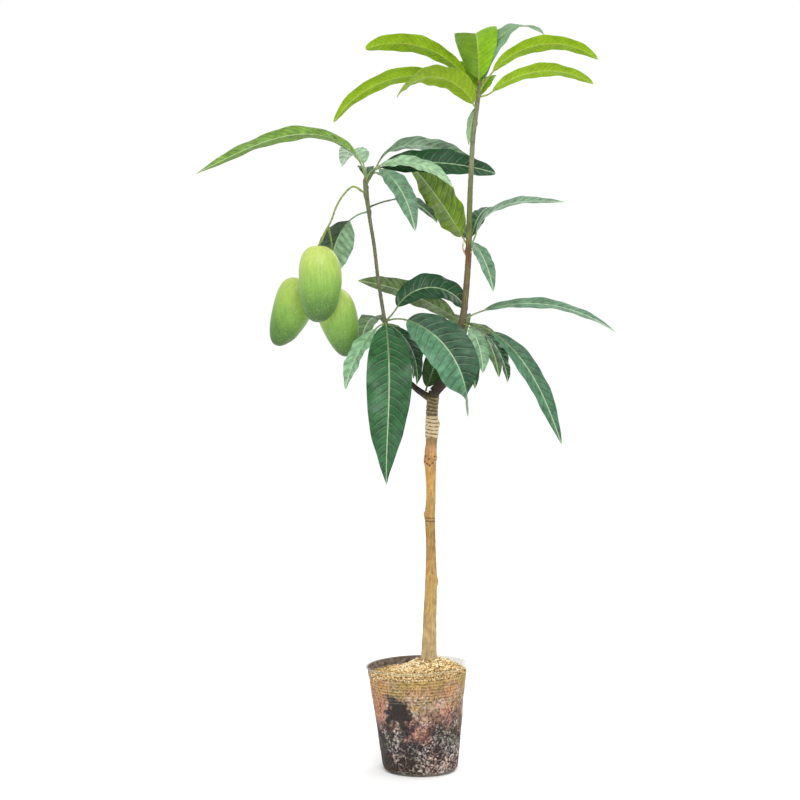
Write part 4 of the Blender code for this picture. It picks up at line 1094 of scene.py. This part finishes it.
def soilMaterial():
    # moist husk and peat pressed against the wall: straw husk high up, pinkish brown under it, then nearly
    # black peat with pale flecks and thread-like roots; single grains are 2 to 3 mm
    finish = soilFinish
    material, add = newMaterial("growingMixHuskAndPeat", {
        "Roughness": 0.75, "Specular IOR Level": 0.3,
    })
    place = add("TexCoord").outputs["Object"]
    side = add("UVMap", uv_map="side")
    up = add("SeparateXYZ", side).outputs["Y"]
    x = add("SeparateXYZ", place).outputs["X"]
    wander = add("TexNoise", place, Scale=finish["wanderScale"], Detail=6.0, Roughness=0.68)
    shift = add("Math.MULTIPLY_ADD", wander, finish["wander"], -finish["wander"] / 2)
    # a dark tongue of peat reaches up on the front left and a shelf of husk lies low in the middle; the edge
    # of each is pulled about by the same noise
    pulled = add("VectorMath.MULTIPLY_ADD", wander.outputs["Color"], (0.95, 0.95, 0.0), (-0.475, -0.475, 0.0))
    for centre, push in (finish["shelf"], finish["tongue"]):      # the tongue last, for the flecks below
        toCentre = add("VectorMath.SUBTRACT", side, centre)
        narrowed = add("VectorMath.MULTIPLY", toCentre, finish["narrowing"])
        torn = add("VectorMath.ADD", narrowed, pulled)
        farOff = add("VectorMath.LENGTH", torn)
        blot = add("MapRange.SMOOTHSTEP", farOff, 0.07, 0.22, push, 0.0)
        shift = add("Math.ADD", shift, blot)
    level = add("Math.ADD", up, shift)
    ground = add("ValToRGB", level, stops=finish["ground"])
    cells = add("TexVoronoi", place, Scale=finish["grainScale"])
    red, green, blue = add("SeparateColor", cells.outputs["Color"]).outputs
    grit = add("MapRange", blue, 0.0, 1.0, 0.16, 1.62)
    # grains stand out less where the ribs lift the film off them
    calm = add("MapRange", up, 0.72, 0.84, 0.0, 0.32)
    softer = add("Mix", calm, grit, 1.0)
    gritty = add("VectorMath.SCALE", ground, softer)
    # flecks lie in drifts, thickest at the foot on the right, and absent from the tongue and the foot's left
    clump = add("TexNoise", place, Scale=finish["clumpScale"], Detail=3.0)
    footward = add("MapRange", up, 0.05, 0.26, 1.0, 0.0)
    rightward = add("MapRange", x, -0.046, 0.014, -0.34, 0.34)
    drift = add("Math.MULTIPLY_ADD", footward, rightward, clump)
    sparser = add("Math.MULTIPLY_ADD", blot, 0.6, drift)
    where = add("MapRange", sparser, 0.46, 0.62, 0.0, 0.8)
    speck = add("MapRange", red, 0.60, 0.72)
    flecks = add("Math.MULTIPLY", speck, where)
    # roots are thin lines where a noise passes its middle, low down and not at the left edge
    loops = add("TexNoise", place, Scale=finish["rootScale"], Detail=1.0)
    middle = add("Math.SUBTRACT", loops, 0.5)
    edge = add("Math.ABSOLUTE", middle)
    thread = add("MapRange", edge, 0.006, 0.020, 0.75, 0.0)
    lowDown = add("MapRange", up, 0.34, 0.46, 1.0, 0.0)
    rooted = add("Math.MULTIPLY", thread, lowDown)
    inward = add("MapRange", x, -0.050, -0.030, 0.15, 1.0)
    threads = add("Math.MULTIPLY", rooted, inward)
    lighter = add("Math.MAXIMUM", flecks, threads)
    pale = add("ValToRGB", green, stops=finish["flecks"])
    flecked = add("Mix.RGBA", lighter, gritty, pale)
    # broad hues a few centimetres wide: algae green in the damp, warm pink where the husk is fresh
    broad = add("TexNoise", place, Scale=finish["hueScale"], Detail=2.0)
    hue = add("ValToRGB", broad, stops=finish["hues"])
    hued = add("VectorMath.MULTIPLY", flecked, hue)
    # painted light and shade of the ribs: the mix is darkened under each groove and lightened under each
    # crest, and a noise makes this come and go
    wave, band = ribWave(add, up, finish["ribsEnd"])
    ribLightAndShade = add("MapRange", wave, -0.4, 1.0, 1.12, 0.52)
    ribShadeStrength = add("MapRange", wander, 0.36, 0.60, 0.15, 1.0)
    seen = add("Math.MULTIPLY", band, ribShadeStrength)
    shade = add("Mix", seen, 1.0, ribLightAndShade)
    ribbed = add("VectorMath.SCALE", hued, shade)
    coat(material, {"Base Color": ribbed}, Height=cells, Strength=0.4, Distance=0.0010)
    return material


huskFinish = {
    "stops": ((0.36, "#6f5432"), (0.44, "#bd965c"), (0.52, "#e3c280"), (0.61, "#f4deaa"), (0.72, "#fdf1d6")),
    "scale": 330.0, "litNearTrunk": (0.022, 0.055, 0.13, -0.03),      # paler near the trunk than at the wall
}


def huskMaterial():
    # dry rice husk: papery and ribbed; gives warm straw colours that change from husk to husk, and paler
    # husks near the trunk as painted light
    finish = huskFinish
    material, add = newMaterial("riceHuskDry", {"Roughness": 0.62})
    place = add("TexCoord").outputs["Object"]
    husks = add("TexNoise", place, Scale=finish["scale"], Detail=1.0)
    flat = add("VectorMath.MULTIPLY", place, (1.0, 1.0, 0.0))
    outward = add("VectorMath.LENGTH", flat)
    # painted light: husks near the trunk are lifted up the ramp
    litNearTrunk = add("MapRange", outward, *finish["litNearTrunk"])
    shade = add("Math.ADD", husks, litNearTrunk)
    coat(material, {"Base Color": add("ValToRGB", shade, stops=finish["stops"])})
    return material


newPiece("potCup", potParts(), plasticMaterial(), ["pot"], sharp=60)
newPiece("growingMix", soilParts(), soilMaterial(), ["soil"], sharp=180)
newPiece("riceHusks", [huskPart()], huskMaterial(), sharp=30)
print("pot filled")

# Stage, light and camera
stage = {
    "floorSize": 30.0, "floorHeight": -0.0004, "floor": "#fefefe", "sky": "#ffffff", "skyStrength": 1.015,
    "keyLight": ((0.3, -2.9, 3.0), 1.3, 58.0),      # place, size, watts
    "backLight": ((1.8, 1.9, 2.2), 1.6, 22.0), "aim": (0.0, 0.0, 0.6),
}
camera = {"place": (-0.030, -3.07, 0.73), "down": 3.5, "lens": 95.3, "sensor": 36.0}


def addLight(name, place, size, power):
    # a square lamp that faces the aim
    light = bpy.data.lights.new(name, "AREA")
    light.size = size
    light.energy = power
    lamp = bpy.data.objects.new(name, light)
    lamp.location = place
    x, y, z = np.array(place) - np.array(stage["aim"])
    lamp.rotation_euler = (math.atan2(math.hypot(x, y), z), 0.0, math.atan2(x, -y))
    bpy.context.scene.collection.objects.link(lamp)


def setStage():
    scene = bpy.context.scene
    half, z = stage["floorSize"] / 2, stage["floorHeight"]
    mesh = bpy.data.meshes.new("paleFloor")
    corners = [(-half, -half, z), (half, -half, z), (half, half, z), (-half, half, z)]
    mesh.from_pydata(corners, [], [(0, 1, 2, 3)])
    material, _ = newMaterial("floorMattePaint", {"Base Color": stage["floor"], "Roughness": 0.9})
    mesh.materials.append(material)
    floor = bpy.data.objects.new("paleFloor", mesh)
    scene.collection.objects.link(floor)
    world = bpy.data.worlds.new("softStudio")
    world.use_nodes = True
    background = world.node_tree.nodes["Background"]
    background.inputs["Color"].default_value = linear(stage["sky"])
    background.inputs["Strength"].default_value = stage["skyStrength"]
    scene.world = world
    addLight("keyLight", *stage["keyLight"])
    addLight("backLight", *stage["backLight"])
    lens = bpy.data.cameras.new("camera")
    lens.lens = camera["lens"]
    lens.sensor_width = camera["sensor"]
    viewer = bpy.data.objects.new("camera", lens)
    viewer.location = camera["place"]
    viewer.rotation_euler = (math.radians(90 - camera["down"]), 0.0, 0.0)
    scene.collection.objects.link(viewer)
    scene.camera = viewer
    scene.view_settings.view_transform = "Standard"


setStage()
print("stage set")
